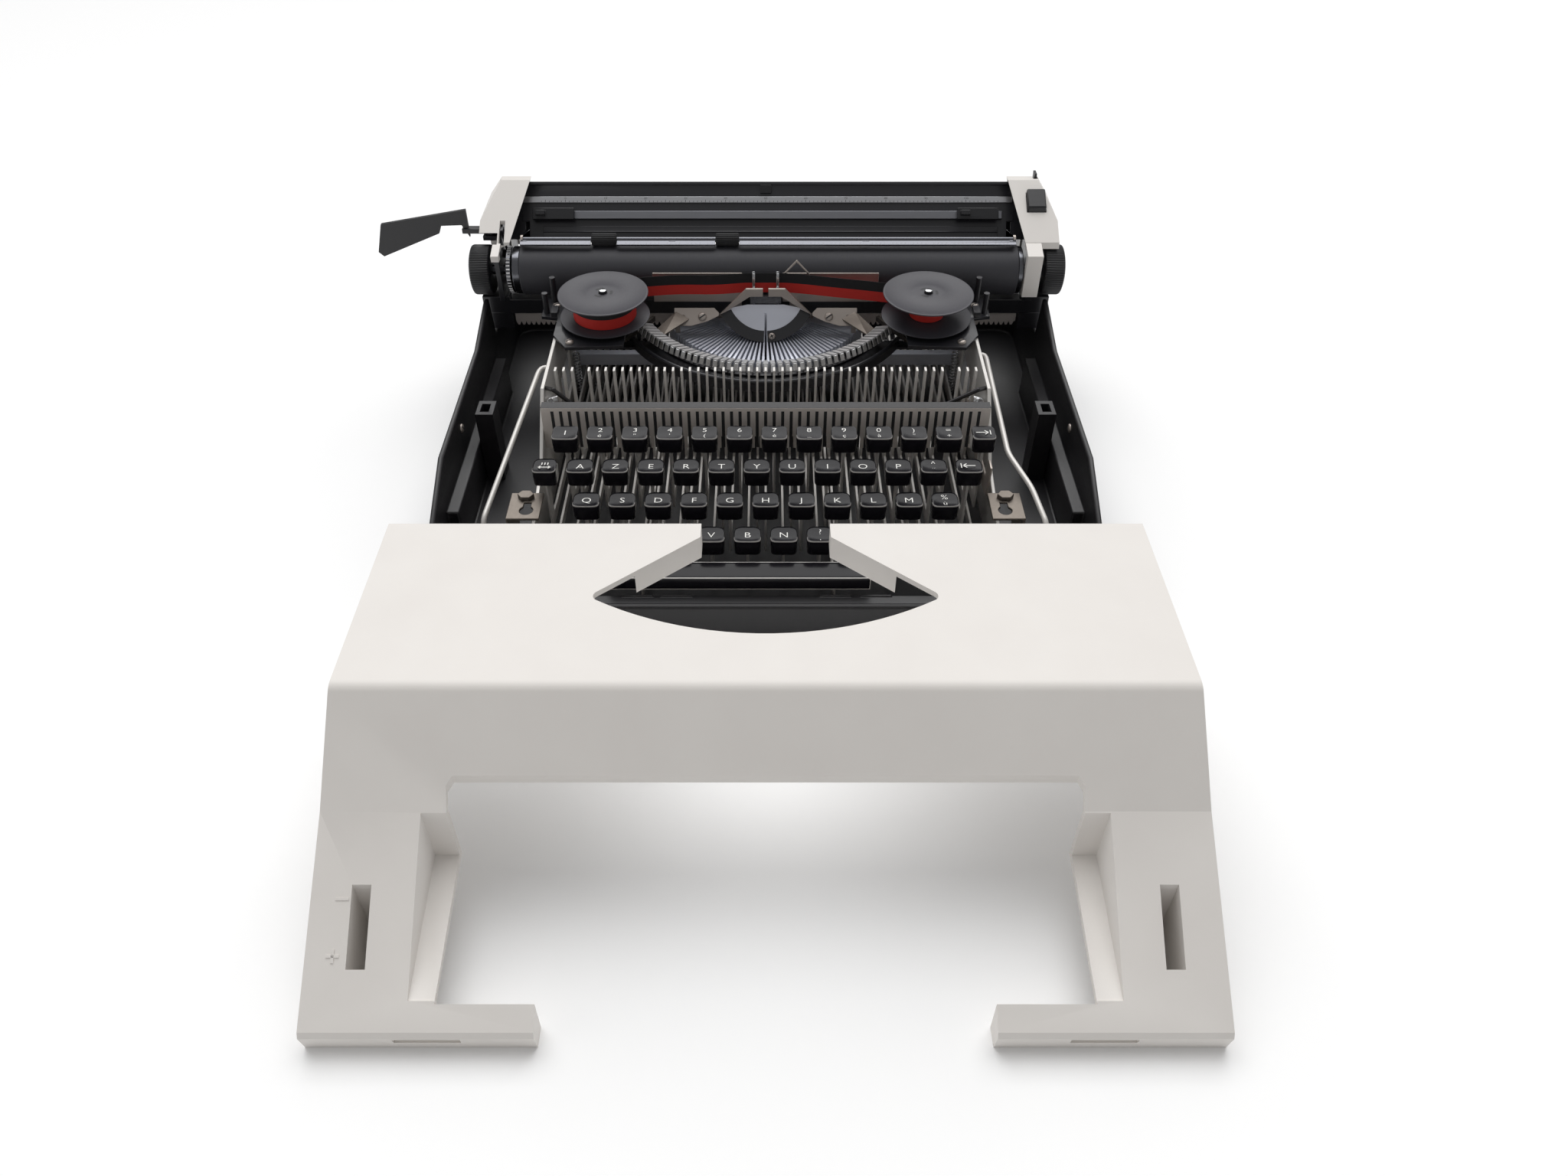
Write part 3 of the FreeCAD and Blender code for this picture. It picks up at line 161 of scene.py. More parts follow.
def rounded_path(corners, radius, steps=6):
    """Straight runs between corners with each corner rounded off by a quadratic curve that
    starts and ends the radius away from it: (1-t)^2 a + 2t(1-t) c + t^2 b."""
    corners = np.asarray(corners, float)
    t = np.linspace(0, 1, steps)[:, None]
    parts = [corners[:1]]
    for before, corner, after in zip(corners, corners[1:], corners[2:]):
        a = corner + (before - corner) * min(0.45, radius / np.linalg.norm(before - corner))
        b = corner + (after - corner) * min(0.45, radius / np.linalg.norm(after - corner))
        parts.append((1 - t) ** 2 * a + 2 * t * (1 - t) * corner + t ** 2 * b)
    parts.append(corners[-1:])
    return np.concatenate(parts)


BLOCK_FACES = [(0, 3, 2, 1), (4, 5, 6, 7), (0, 1, 5, 4), (1, 2, 6, 5), (2, 3, 7, 6), (3, 0, 4, 7)]


def block(x0, x1, y0, y1, z0, z1):
    """Eight corners and six faces of an upright block."""
    points = [(x, y, z) for z in (z0, z1) for x, y in ((x0, y0), (x1, y0), (x1, y1), (x0, y1))]
    return points, BLOCK_FACES


def words(text, size, place, name="words"):
    """The points (in mm) and faces of a flat text centred on place, as a plain mesh."""
    curve = bpy.data.curves.new(name, "FONT")
    curve.body = text
    curve.size = size
    curve.align_x = "CENTER"
    curve.align_y = "CENTER"
    curve.resolution_u = 3
    curve.offset = -0.011 * size
    carrier = bpy.data.objects.new(name, curve)
    bpy.context.scene.collection.objects.link(carrier)
    bpy.context.view_layer.update()
    mesh = carrier.to_mesh()
    points = np.array([v.co for v in mesh.vertices], float).reshape(-1, 3)
    faces = [list(p.vertices) for p in mesh.polygons]
    carrier.to_mesh_clear()
    bpy.data.objects.remove(carrier)
    bpy.data.curves.remove(curve)
    return points * (1.16, 1.0, 1.0) + np.asarray(place, float), faces


def softened(node, body, width, material, angle=28.0, segments=2):
    """A CAD node's own shape with its loose triangles merged, its flats dissolved and its
    edges rounded by a bevel of the given width in millimetres."""
    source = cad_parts[node]
    mesh = source.data.copy()
    work = bmesh.new()
    work.from_mesh(mesh)
    bmesh.ops.remove_doubles(work, verts=work.verts, dist=2e-6)
    bmesh.ops.dissolve_limit(work, angle_limit=math.radians(0.6), verts=work.verts,
                             edges=work.edges)
    work.to_mesh(mesh)
    work.free()
    mesh.materials.clear()
    mesh.materials.append(material)
    mesh.shade_smooth()
    mesh.set_sharp_from_angle(angle=math.radians(angle))
    piece = bpy.data.objects.new(node + "_finished", mesh)
    bpy.context.scene.collection.objects.link(piece)
    bevel = piece.modifiers.new("Rounded edges", "BEVEL")
    bevel.width = width * MM
    bevel.segments = segments
    bevel.limit_method = "ANGLE"
    bevel.angle_limit = math.radians(angle)
    bevel.use_clamp_overlap = True
    bevel.harden_normals = False
    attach(piece, body)
    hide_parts(node)
    return piece


def dress(piece, finish, sharp=None, node=None):
    """Finish and slot of a piece, with edges over the sharp angle kept crisp and the CAD node
    that the piece stands in for."""
    if sharp:
        piece.data.set_sharp_from_angle(angle=math.radians(sharp))
    piece.data.materials.append(MATERIALS[finish])
    if node:
        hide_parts(node)


# ---- materials ----
MATERIALS = {}
WEAR_GRAINS = 30


def linear(hex_colour):
    """An sRGB hex colour as linear red, green, blue and 1."""
    s = np.array([int(hex_colour[i:i + 2], 16) for i in (1, 3, 5)]) / 255
    low = s / 12.92
    high = ((s + 0.055) / 1.055) ** 2.4
    return tuple(np.where(s <= 0.04045, low, high).tolist()) + (1.0,)


def add(tree, kind, settings=None, links=None, **values):
    """One node with its input values, settings and links {input: (node, output)}."""
    node = tree.nodes.new(kind)
    for key, value in (settings or {}).items():
        setattr(node, key, value)
    for key, value in values.items():
        node.inputs[key.replace("_", " ")].default_value = value
    for key, (source, output) in (links or {}).items():
        tree.links.new(source.outputs[output], node.inputs[key])
    return node


def finish_of(name, colour, rough, metallic=0.0, grain_mm=0.0, grain_depth=0.0, spread=0.0,
              streak=None, coat=0.0, ior=1.5, wear=None, transmission=0.0):
    """A surface of one colour with a fine grain: noise of the given grain size on Object
    coordinates drives a bump of grain_depth mm and moves the roughness by spread. A streak
    stretches the grain along one axis, as rolling or brushing does. Wear is a second colour,
    mixed in by a noise WEAR_GRAINS times as broad."""
    material = bpy.data.materials.new(name)
    material.use_nodes = True
    tree = material.node_tree
    shader = tree.nodes["Principled BSDF"]
    shader.inputs["Base Color"].default_value = linear(colour)
    shader.inputs["Roughness"].default_value = rough
    shader.inputs["Metallic"].default_value = metallic
    shader.inputs["Coat Weight"].default_value = coat
    shader.inputs["Transmission Weight"].default_value = transmission
    if metallic < 0.5:
        shader.inputs["IOR"].default_value = ior
    if grain_mm:
        place = add(tree, "ShaderNodeTexCoord")
        turn = add(tree, "ShaderNodeMapping", links={"Vector": (place, "Object")},
                   Scale=streak or (1.0, 1.0, 1.0))
        noise = add(tree, "ShaderNodeTexNoise", links={"Vector": (turn, "Vector")},
                    Scale=1000.0 / grain_mm, Detail=3.0)
        if grain_depth:
            bump = add(tree, "ShaderNodeBump", links={"Height": (noise, "Fac")},
                       Distance=grain_depth * MM, Strength=0.6)
            tree.links.new(bump.outputs["Normal"], shader.inputs["Normal"])
        if spread:
            range_ = add(tree, "ShaderNodeMapRange", links={"Value": (noise, "Fac")})
            range_.inputs["To Min"].default_value = max(0.02, rough - spread)
            range_.inputs["To Max"].default_value = min(1.0, rough + spread)
            tree.links.new(range_.outputs["Result"], shader.inputs["Roughness"])
        if wear:
            broad = add(tree, "ShaderNodeTexNoise", links={"Vector": (place, "Object")},
                        Scale=1000.0 / (grain_mm * WEAR_GRAINS), Detail=4.0)
            mix = add(tree, "ShaderNodeMix", settings={"data_type": "RGBA"})
            mix.inputs[6].default_value = linear(colour)
            mix.inputs[7].default_value = linear(wear)
            tree.links.new(broad.outputs["Fac"], mix.inputs[0])
            tree.links.new(mix.outputs[2], shader.inputs["Base Color"])
    MATERIALS[name] = material
    return material


def make_materials(colours):
    """Every finish of the machine, by the name of what it is."""
    # Moulded ABS with a fine spark-eroded texture: soft, wide highlights and a warm white.
    finish_of("moulded_abs_cover", colours.cover, rough=0.5, grain_mm=0.9, grain_depth=0.03,
              spread=0.06, wear=colours.cover_shade)
    # The same ABS, a little greyer where the carriage's end covers have aged.
    finish_of("moulded_abs_end_cover", colours.end_cover, rough=0.45, grain_mm=0.9,
              grain_depth=0.02, spread=0.06, wear=colours.cover_shade)
    # Moulded polystyrene pan: satin black that shows broad, dull highlights.
    finish_of("moulded_polystyrene_pan", colours.pan, rough=0.42, grain_mm=1.2, grain_depth=0.02,
              spread=0.08)
    # Injection-moulded caps out of a polished tool: deep black with sharp reflections. The
    # IOR is below a real plastic's, to keep the wide light off the legends.
    finish_of("polished_cap_plastic", colours.caps, rough=0.16, grain_mm=2.5, grain_depth=0.004,
              spread=0.04, ior=1.27)
    # White plastic of the second shot, seen as the legends.
    finish_of("legend_plastic", "#F2F1EC", rough=0.35)
    # Pale grey line along the front edge of the caps' rims and the space bar.
    finish_of("cap_edge_plastic", "#8E8B88", rough=0.4)
    # Nickel-plated, rolled steel sheet: warm grey with streaks along the rolling direction.
    finish_of("nickel_plated_sheet", colours.nickel, rough=0.46, metallic=0.8, grain_mm=1.2,
              grain_depth=0.006, spread=0.1, streak=(0.15, 1.0, 1.0))
    # Zinc-plated strip of the levers and frames: pale, and duller than the nickel.
    finish_of("zinc_plated_strip", "#CFCCC8", rough=0.46, metallic=0.4, grain_mm=1.5,
              grain_depth=0.006, spread=0.1, streak=(1.0, 0.12, 1.0))
    # Nickel-plated comb, satin from the barrel: set paler and less metallic than nickel, as
    # painted light that keeps its front face bright where little lamp light falls.
    finish_of("barrel_plated_comb", "#DAD2CB", rough=0.5, metallic=0.2, grain_mm=1.2,
              grain_depth=0.006, spread=0.08, streak=(1.0, 1.0, 0.15))
    # Old nickel that has gone brown and dull, on the mounting plates.
    finish_of("tarnished_nickel", "#7A736C", rough=0.5, metallic=1.0, grain_mm=1.2,
              grain_depth=0.006, spread=0.1)
    # Milled face of the toothed rack: pale, dull steel.
    finish_of("milled_rack_steel", "#CFC7C3", rough=0.55, metallic=0.5, grain_mm=0.8,
              grain_depth=0.006, spread=0.08)
    # Bright drawn rod: its colour is darkened to grey as painted reflection of the dark parts
    # round it, and the lamps put one hard white line of light along it.
    finish_of("bright_drawn_rod", "#6C6D72", rough=0.24, metallic=1.0, grain_mm=0.8,
              grain_depth=0.002, spread=0.05)
    # Polished and chrome-plated steel: near mirror, with fine drawing marks.
    finish_of("chrome_plated_steel", "#D9DADC", rough=0.14, metallic=1.0, grain_mm=0.8,
              grain_depth=0.002, spread=0.05)
    # Typebar strip, plated and a little dull from handling and ink.
    finish_of("plated_typebar_steel", "#E6E6E7", rough=0.36, metallic=0.5, grain_mm=0.8,
              grain_depth=0.004, spread=0.1, wear="#A5A4A4")
    # Cast and ground segment metal with a cold blue-grey tone.
    finish_of("ground_segment_metal", "#D3D6E0", rough=0.5, metallic=0.6, grain_mm=1.0,
              grain_depth=0.006, spread=0.08, streak=(0.2, 1.0, 1.0))
    # Black enamel over steel: shallow orange peel and a soft gloss.
    finish_of("black_enamelled_steel", "#232327", rough=0.34, grain_mm=2.2, grain_depth=0.012,
              spread=0.08, coat=0.15)
    # Spool discs, stamped and painted in satin charcoal.
    finish_of("satin_painted_disc", "#3D3C42", rough=0.5, grain_mm=0.8, grain_depth=0.01,
              spread=0.08)
    # Ground hard rubber of the platen: matt, with hair-fine grinding marks round it.
    finish_of("ground_hard_rubber", "#3A3A3F", rough=0.6, grain_mm=0.7, grain_depth=0.012,
              spread=0.08, streak=(1.0, 0.2, 0.2))
    # Moulded soft rubber of the feet and rollers.
    finish_of("moulded_soft_rubber", "#1B1B1D", rough=0.7, grain_mm=1.0, grain_depth=0.02,
              spread=0.05)
    # Moulded black knobs and grips, satin from the tool.
    finish_of("moulded_black_grip", "#1E1E21", rough=0.38, grain_mm=1.0, grain_depth=0.01,
              spread=0.08)
    # Brushed aluminium scale strip.
    finish_of("brushed_aluminium", "#C4C5C8", rough=0.32, metallic=1.0, grain_mm=0.8,
              grain_depth=0.004, spread=0.1, streak=(0.1, 1.0, 1.0))
    # Dark printing ink of the scale marks; the same dark is painted shade in the slots of the
    # spools, the screw heads and the comb.
    finish_of("print_ink_and_slot_shade", "#2B2B2D", rough=0.6)
    # Inked silk ribbon, upper half black: matt weave.
    finish_of("inked_silk_black", "#141316", rough=0.75, grain_mm=0.5, grain_depth=0.03,
              spread=0.05)
    # Inked silk ribbon, lower half red.
    finish_of("inked_silk_red", colours.ribbon_red, rough=0.65, grain_mm=0.5, grain_depth=0.03,
              spread=0.05)
    # Clear acrylic line scale of the paper bail: it takes the dark of the platen behind it.
    finish_of("clear_acrylic", "#5B5C62", rough=0.22, transmission=0.35, ior=1.49)
    # Smoky acrylic card guide in front of the ribbon.
    finish_of("smoky_acrylic", "#77787D", rough=0.12, transmission=0.6, ior=1.49)
    # Browned steel wire: dark, with a dull shine.
    finish_of("browned_steel", "#3B3A3B", rough=0.4, metallic=1.0, grain_mm=0.8, grain_depth=0.004,
              spread=0.08)
    # Satin grey rail.
    finish_of("satin_rail_steel", "#85868B", rough=0.4, metallic=1.0, grain_mm=1.0,
              grain_depth=0.004, spread=0.08, streak=(0.1, 1.0, 1.0))


# Node: its finish, its body, and the width of its rounded edges in millimetres.
NODE_FINISH = {
    "rubber_feet": ("moulded_soft_rubber", "base", 0.6),
    "base_pan": ("moulded_polystyrene_pan", "base", 1.0),
    "side_frames": ("zinc_plated_strip", "base", 0.3),
    "mount_plates": ("tarnished_nickel", "base", 0.35),
    "key_comb": ("barrel_plated_comb", "base", 0.2),
    "cross_rods": ("browned_steel", "base", 0.1),
    "front_apron": ("moulded_polystyrene_pan", "base", 0.4),
    "type_segment": ("ground_segment_metal", "base", 0.25),
    "type_rest": ("black_enamelled_steel", "base", 0.3),
    "type_guide": ("nickel_plated_sheet", "base", 0.4),
    "card_plates": ("nickel_plated_sheet", "base", 0.2),
    "ribbon_deck": ("black_enamelled_steel", "base", 0.3),
    "carriage_rail": ("satin_rail_steel", "base", 0.4),
    "mainspring_drum": ("nickel_plated_sheet", "drum", 0.5),
    "carriage_base": ("black_enamelled_steel", "lower_carriage", 0.6),
    "carriage_rack": ("milled_rack_steel", "lower_carriage", 0.15),
    "carriage_sides": ("black_enamelled_steel", "upper_carriage", 0.3),
    "end_cover_left": ("moulded_abs_end_cover", "upper_carriage", 1.2),
    "end_cover_right": ("moulded_abs_end_cover", "upper_carriage", 1.2),
    "paper_table": ("black_enamelled_steel", "upper_carriage", 0.3),
    "erasing_plate": ("black_enamelled_steel", "upper_carriage", 0.2),
    "paper_scale": ("brushed_aluminium", "upper_carriage", 0.15),
    "margin_rail": ("satin_rail_steel", "upper_carriage", 0.3),
    "margin_stop_left": ("moulded_black_grip", "stop_left_slide", 0.3),
    "margin_stop_right": ("moulded_black_grip", "stop_right_slide", 0.3),
    "paper_pointer": ("moulded_black_grip", "pointer_slide", 0.2),
    "platen": ("ground_hard_rubber", "platen_turning", 0.5),
    "platen_core": ("bright_drawn_rod", "platen_turning", 0.4),
    "feed_rollers": ("moulded_soft_rubber", "feed_turning", 0.4),
    "return_lever": ("moulded_black_grip", "return_arm", 0.7),
    "paper_bail": ("bright_drawn_rod", "bail_arm", 0.12),
    "paper_release": ("moulded_black_grip", "release_arm", 0.3),
    "release_button": ("moulded_black_grip", "button_slide", 0.8),
    "line_space_selector": ("black_enamelled_steel", "spacing_arm", 0.3),
    "ribbon_vibrator": ("chrome_plated_steel", "vibrator_slide", 0.15),
    "ribbon_selector": ("nickel_plated_sheet", "selector_arm", 0.25),
    "typebars": ("plated_typebar_steel", "base", 0.12),
    "typebar_h": ("plated_typebar_steel", "typebar_h_arm", 0.12),
    "cover": ("moulded_abs_cover", "top_cover", 1.1),
}


# ---- keys ----
def key_surface(row, u, v):
    """Height of a cap's top over its rim at u, v in -1...1: a bowl of the given depth,
    depth * (u^2 + v^2 - 2) / 2, flatter and only across v on the top row."""
    if row == 1:
        return 0.45 * (u ** 2 + 0.6 * v ** 2 - 1.6)
    return 0.62 * (u ** 2 + v ** 2 - 2.0)


def squircle(a, half_x, half_y, power, back_power=None):
    """Rounded rectangle at angle a: x = hx sgn(cos a)|cos a|^(2/p), y the same with sin; the
    back half may have a rounder power of its own."""
    c = np.cos(a)
    s = np.sin(a)
    p = np.where(s > 0, back_power or power, power)
    return (half_x * np.sign(c) * np.abs(c) ** (2 / p),
            half_y * np.sign(s) * np.abs(s) ** (2 / p))


def key_cap(pile, x, y, rim_top, half_x, half_y, row, skirt=9.9):
    """A cap as rings of a rounded rectangle: rounded foot, barrel side, rounded rim and,
    inside it, rings that shrink to the middle and follow the dished surface."""
    a = np.linspace(0, 2 * math.pi, 64, endpoint=False)
    back = 5.0 if row == 1 else 3.4
    rings = []
    for scale, z in ((0.9, -skirt), (0.955, -skirt + 0.12), (0.975, -skirt + 0.5), (1.0, -4.5),
                     (1.0, -1.2), (0.992, -0.75), (0.975, -0.5)):
        px, py = squircle(a, half_x * scale, half_y * scale, 5.5, back)
        rings.append(np.stack([x + px, y + py, np.full_like(a, rim_top + z)], -1))
    for shrink in (0.95, 0.9, 0.82, 0.68, 0.5, 0.3, 0.1):
        px, py = squircle(a, half_x * shrink, half_y * shrink, 5.5 - 3.0 * (1 - shrink), back)
        z = key_surface(row, px / half_x, py / half_y)
        edge = 0.0 if shrink < 0.94 else -0.1
        rings.append(np.stack([x + px, y + py, rim_top + np.minimum(z, 0.0) + edge - 0.2], -1))
    points = np.concatenate(rings)
    faces = [list(f) for f in grid_faces(len(rings), len(a), close_columns=True)]
    last = (len(rings) - 1) * len(a)
    faces.append(list(range(last, last + len(a))))
    faces.append(list(range(len(a) - 1, -1, -1)))
    pile.add(points, faces)


def key_edge(pile, x, y, rim_top, half_x, half_y):
    """The pale line along the front edge of a cap's rim: a thin band on the front part of
    the same rounded rectangle."""
    a = np.linspace(math.pi * 1.03, math.pi * 1.97, 40)
    rings = []
    for scale, z in ((0.985, -0.42), (0.965, -0.3), (1.006, -0.72), (1.008, -1.0), (0.98, -1.0)):
        px, py = squircle(a, half_x * scale, half_y * scale, 5.5)
        rings.append(np.stack([x + px, y + py, np.full_like(a, rim_top + z)], -1))
    order = [1, 0, 2, 3, 4]
    pile.add(np.concatenate([rings[i] for i in order]), grid_faces(5, len(a), close_rows=True))


def laid_words(pile, text, size, x, y, rim_top, half_x, half_y, row, dx=0.0, dy=0.0):
    """A legend laid on a cap: each point takes the cap surface's own height plus 0.05 mm."""
    if not text:
        return
    points, faces = words(text, size, (dx, dy, 0.0))
    u = points[:, 0] / half_x
    v = points[:, 1] / half_y
    points[:, 2] = rim_top + np.minimum(key_surface(row, u, v), 0.0) - 0.12
    points[:, 0] += x
    points[:, 1] += y
    pile.add(points, faces)


def strokes(pile, lines, x, y, rim_top, width=0.5):
    """Straight strokes of a sign, each a thin flat bar from a to b lying on the cap."""
    for (ax, ay), (bx, by) in lines:
        a = np.array([ax, ay])
        b = np.array([bx, by])
        side = np.array([-(b - a)[1], (b - a)[0]])
        side = side / np.linalg.norm(side) * width / 2
        corners = np.array([a - side, b - side, b + side, a + side])
        points = np.column_stack([corners + (x, y), np.full(4, rim_top)])
        pile.add(points, [(0, 1, 2, 3)])


def flat_piece(pile, name, body, material):
    """Legends as one open, upward-facing mesh."""
    mesh = bpy.data.meshes.new(name)
    points = (np.concatenate(pile.points) + SHIFT) * MM
    mesh.from_pydata(points.tolist(), [], pile.faces)
    mesh.validate()
    work = bmesh.new()
    work.from_mesh(mesh)
    work.normal_update()
    down = [f for f in work.faces if f.normal.z < 0]
    bmesh.ops.reverse_faces(work, faces=down)
    work.to_mesh(mesh)
    work.free()
    mesh.materials.append(material)
    piece = bpy.data.objects.new(name, mesh)
    bpy.context.scene.collection.objects.link(piece)
    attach(piece, body)
    return piece


def key_height(row):
    """Height of the CAD core's top in a row: each row stands one rise over the next."""
    return CAP_CORE_TOP + ROW_RISE * (4 - row)


CAP_HALF = 7.05
CAP_DEEP = 6.2
CAP_RIM = 1.5               # rim over the CAD core's top


def build_key_set(name, body, keys):
    """keys: (row, x, half width, main legend, small legend or a list of strokes)."""
    caps = Pile()
    skirts = Pile()
    legends = Pile()
    for row, x, half, main, small in keys:
        y = KEY_PITCH * (4 - row)
        top = key_height(row) + CAP_RIM
        key_cap(caps, x, y, top, half, CAP_DEEP, row)
        key_edge(skirts, x, y, top, half, CAP_DEEP)
        if isinstance(small, list):
            strokes(legends, small, x, y, top - 0.55 if row > 1 else top - 0.35)
        elif small:
            laid_words(legends, main, 5.0, x, y, top, half, CAP_DEEP, row, 0.0, 2.5)
            laid_words(legends, small, 4.4, x, y, top, half, CAP_DEEP, row, 0.0, -2.5)
        else:
            laid_words(legends, main, 5.8, x, y, top, half, CAP_DEEP, row)
    dress(caps.piece(name + "_caps", body), "polished_cap_plastic", sharp=60)
    dress(skirts.piece(name + "_cap_edges", body), "cap_edge_plastic")
    if legends.count:
        flat_piece(legends, name + "_legends", body, MATERIALS["legend_plastic"])


def row_keys(row):
    """The keys of a row, one pitch apart from its first key, without the H key, which
    stands on a lever of its own."""
    keys = []
    for step, (main, small) in enumerate(zip(LEGENDS[row], SMALL_LEGENDS[row])):
        index = FIRST_KEY[row] + step
        if (row, index) != (3, 0):
            keys.append((row, STAGGER[row] + KEY_PITCH * index, CAP_HALF, main, small))
    return keys


BACK_ARROW = [((-3.2, 0), (3.4, 0)), ((-3.2, 0), (-1.2, 1.7)), ((-3.2, 0), (-1.2, -1.7)),
              ((-4.2, -2), (-4.2, 2))]
TAB_ARROW = [((-4.2, 0), (2.6, 0)), ((2.6, 0), (0.6, 1.7)), ((2.6, 0), (0.6, -1.7)),
             ((3.6, -2), (3.6, 2))]
RELEASE_SIGN = [((-3.4, -1.4), (3.4, -1.4)), ((-3.4, -1.4), (-2, -0.4)),
                ((-3.4, -1.4), (-2, -2.4)), ((3.4, -1.4), (2, -0.4)), ((3.4, -1.4), (2, -2.4)),
                ((-1.6, 0.6), (-1.6, 2.6)), ((0, 0.6), (0, 2.6)), ((1.6, 0.6), (1.6, 2.6))]
SHIFT_SIGN = [((0, -2.4), (0, 2.4)), ((0, 2.4), (-1.8, 0.4)), ((0, 2.4), (1.8, 0.4))]


def build_keys():
    """The four rows, the H key and the wider keys at the ends of the rows."""
    for row in (1, 2, 3, 4):
        build_key_set("row_%d" % row, "key_row_%d" % row, row_keys(row))
    build_key_set("key_h", "key_h_lever", [(3, 0.0, CAP_HALF, "H", "")])
    build_key_set("margin_release", "margin_release_lever",
                  [(2, -118.75, 6.3, "", RELEASE_SIGN)])
    build_key_set("backspace", "backspace_lever", [(2, 109.25, CAP_HALF, "", BACK_ARROW)])
    build_key_set("tab", "tab_lever", [(1, 118.75, 6.3, "", TAB_ARROW)])
    build_key_set("shift_left", "shift_left_lever", [(4, -108.5, 11.9, "", SHIFT_SIGN)])
    build_key_set("shift_right", "shift_right_lever", [(4, 108.5, 11.9, "", SHIFT_SIGN)])


def build_space_bar():
    """A long bar, its section a rounded rectangle carried along X with closed, rounded ends;
    a thin pale line runs along its front edge, and the shift lock's cap stands beside it."""
    x0, x1 = -81.3, 54.3
    y_middle, half_y, top, low = -18.0, 6.5, 38.4, 29.8
    a = np.linspace(0, 2 * math.pi, 40, endpoint=False)
    middle = (top + low) / 2
    rings = []
    for x, scale in ((x0, 0.0), (x0, 0.8), (x0 + 0.35, 0.93), (x0 + 1.2, 1.0), (-13.0, 1.0),
                     (x1 - 1.2, 1.0), (x1 - 0.35, 0.93), (x1, 0.8), (x1, 0.0)):
        py, pz = squircle(a, half_y * scale + 1e-4, (top - low) / 2 * scale + 1e-4, 7.0)
        rings.append(np.stack([np.full_like(a, x), y_middle + py, middle + pz], -1))
    bar = made("space_bar_cap", np.concatenate(rings),
               grid_faces(len(rings), len(a), close_columns=True), "space_bar_lever")
    dress(bar, "polished_cap_plastic")
    edge = Pile()
    front = y_middle - half_y + 0.28
    edge.add(*tube([(x0 + 1.4, front, top - 0.75), (-13.0, front, top - 0.75),
                    (x1 - 1.4, front, top - 0.75)], 0.18, 10))
    dress(edge.piece("space_bar_edge", "space_bar_lever"), "cap_edge_plastic")
    lock = Pile()
    key_cap(lock, -106.0, -18.0, 41.2, 5.6, 5.6, 2)
    dress(lock.piece("shift_lock_cap", "shift_lock_lever"), "polished_cap_plastic")


# ---- ribbon and spools ----
SPOOL_X = 97.3
SPOOL_Y = 164.0


def build_spools():
    """Each spool is a lathe: two discs with rolled rims on a hub, a wound roll in two bands, and
    three arc slots on the upper disc, drawn as flat dark marks of painted shade."""
    disc = [(2.6, 81.0, 0), (26.4, 81.0, 0), (27.0, 81.3, 0), (27.0, 81.8, 0), (26.4, 82.0, 0),
            (8.0, 82.0, 0), (8.0, 95.7, 0), (26.4, 95.7, 0), (27.0, 95.9, 0), (27.0, 96.5, 0),
            (26.6, 96.7, 0), (25.9, 96.72, 0), (25.4, 96.4, 0), (11.0, 96.4, 0), (10.4, 96.6, 0),
            (6.8, 96.7, 0), (2.6, 96.7, 0), (2.6, 81.0, 0)]
    for side, body, roll in ((-1, "spool_left", 19.0), (1, "spool_right", 10.3)):
        carrier = body + "_turning"
        x = side * SPOOL_X
        points, faces = lathe(disc, 96)
        pile = Pile()
        pile.add(points + (x, SPOOL_Y, 0), faces)
        reel = pile.piece(body + "_reel", carrier)
        dress(reel, "satin_painted_disc", sharp=35, node=body)
        for low, high, finish, word in ((82.3, 88.8, "inked_silk_red", "red"),
                                        (88.8, 95.3, "inked_silk_black", "black")):
            h = np.array([low, low, high, high])
            r = np.array([8.1, roll, roll, 8.1])
            band = np.column_stack([r, h, np.zeros(4)])
            points, faces = lathe(np.concatenate([band, band[:1]]), 72)
            pile = Pile()
            pile.add(points + (x, SPOOL_Y, 0), faces)
            dress(pile.piece(body + "_roll_" + word, carrier), finish, sharp=35)
        # The arc slots are not cut: flat dark marks of painted shade lie on the upper disc.
        slots = Pile()
        for k in range(3):
            a = np.radians(120 * k + np.linspace(-26, 26, 10))
            z = np.full_like(a, 96.74)
            inner = np.stack([x + 4.4 * np.cos(a), SPOOL_Y + 4.4 * np.sin(a), z], -1)
            outer = np.stack([x + 5.9 * np.cos(a), SPOOL_Y + 5.9 * np.sin(a), z], -1)
            slots.add(np.concatenate([inner, outer]), grid_faces(2, len(a)))
        piece = flat_piece(slots, body + "_slots", carrier, MATERIALS["print_ink_and_slot_shade"])
        pin = Pile()
        points, faces = lathe([(0.02, 98.6, 0), (1.9, 98.5, 0), (2.4, 98.1, 0), (2.45, 96.0, 0),
                               (0.02, 96.0, 0)], 32)
        pin.add(points + (x, SPOOL_Y, 0), faces)
        dress(pin.piece(body + "_pin", "base"), "chrome_plated_steel")


def ribbon_path(count):
    """Line from roll to roll past the type guide, with a slow wave of the slack silk:
    y + 0.5 sin(0.11 x + 1) away from the guide."""
    x = np.linspace(-94.3, 95.3, count)
    y = np.interp(x, [-94.3, -12.0, 12.0, 95.3], [183.3, 190.7, 190.7, 174.6])
    free = np.clip((np.abs(x) - 12.0) / 25.0, 0, 1) * np.clip((94.5 - np.abs(x)) / 12.0, 0, 1)
    return x, y + 0.55 * free * np.sin(0.11 * x + 1.0), 0.5 * free * np.sin(0.07 * x)


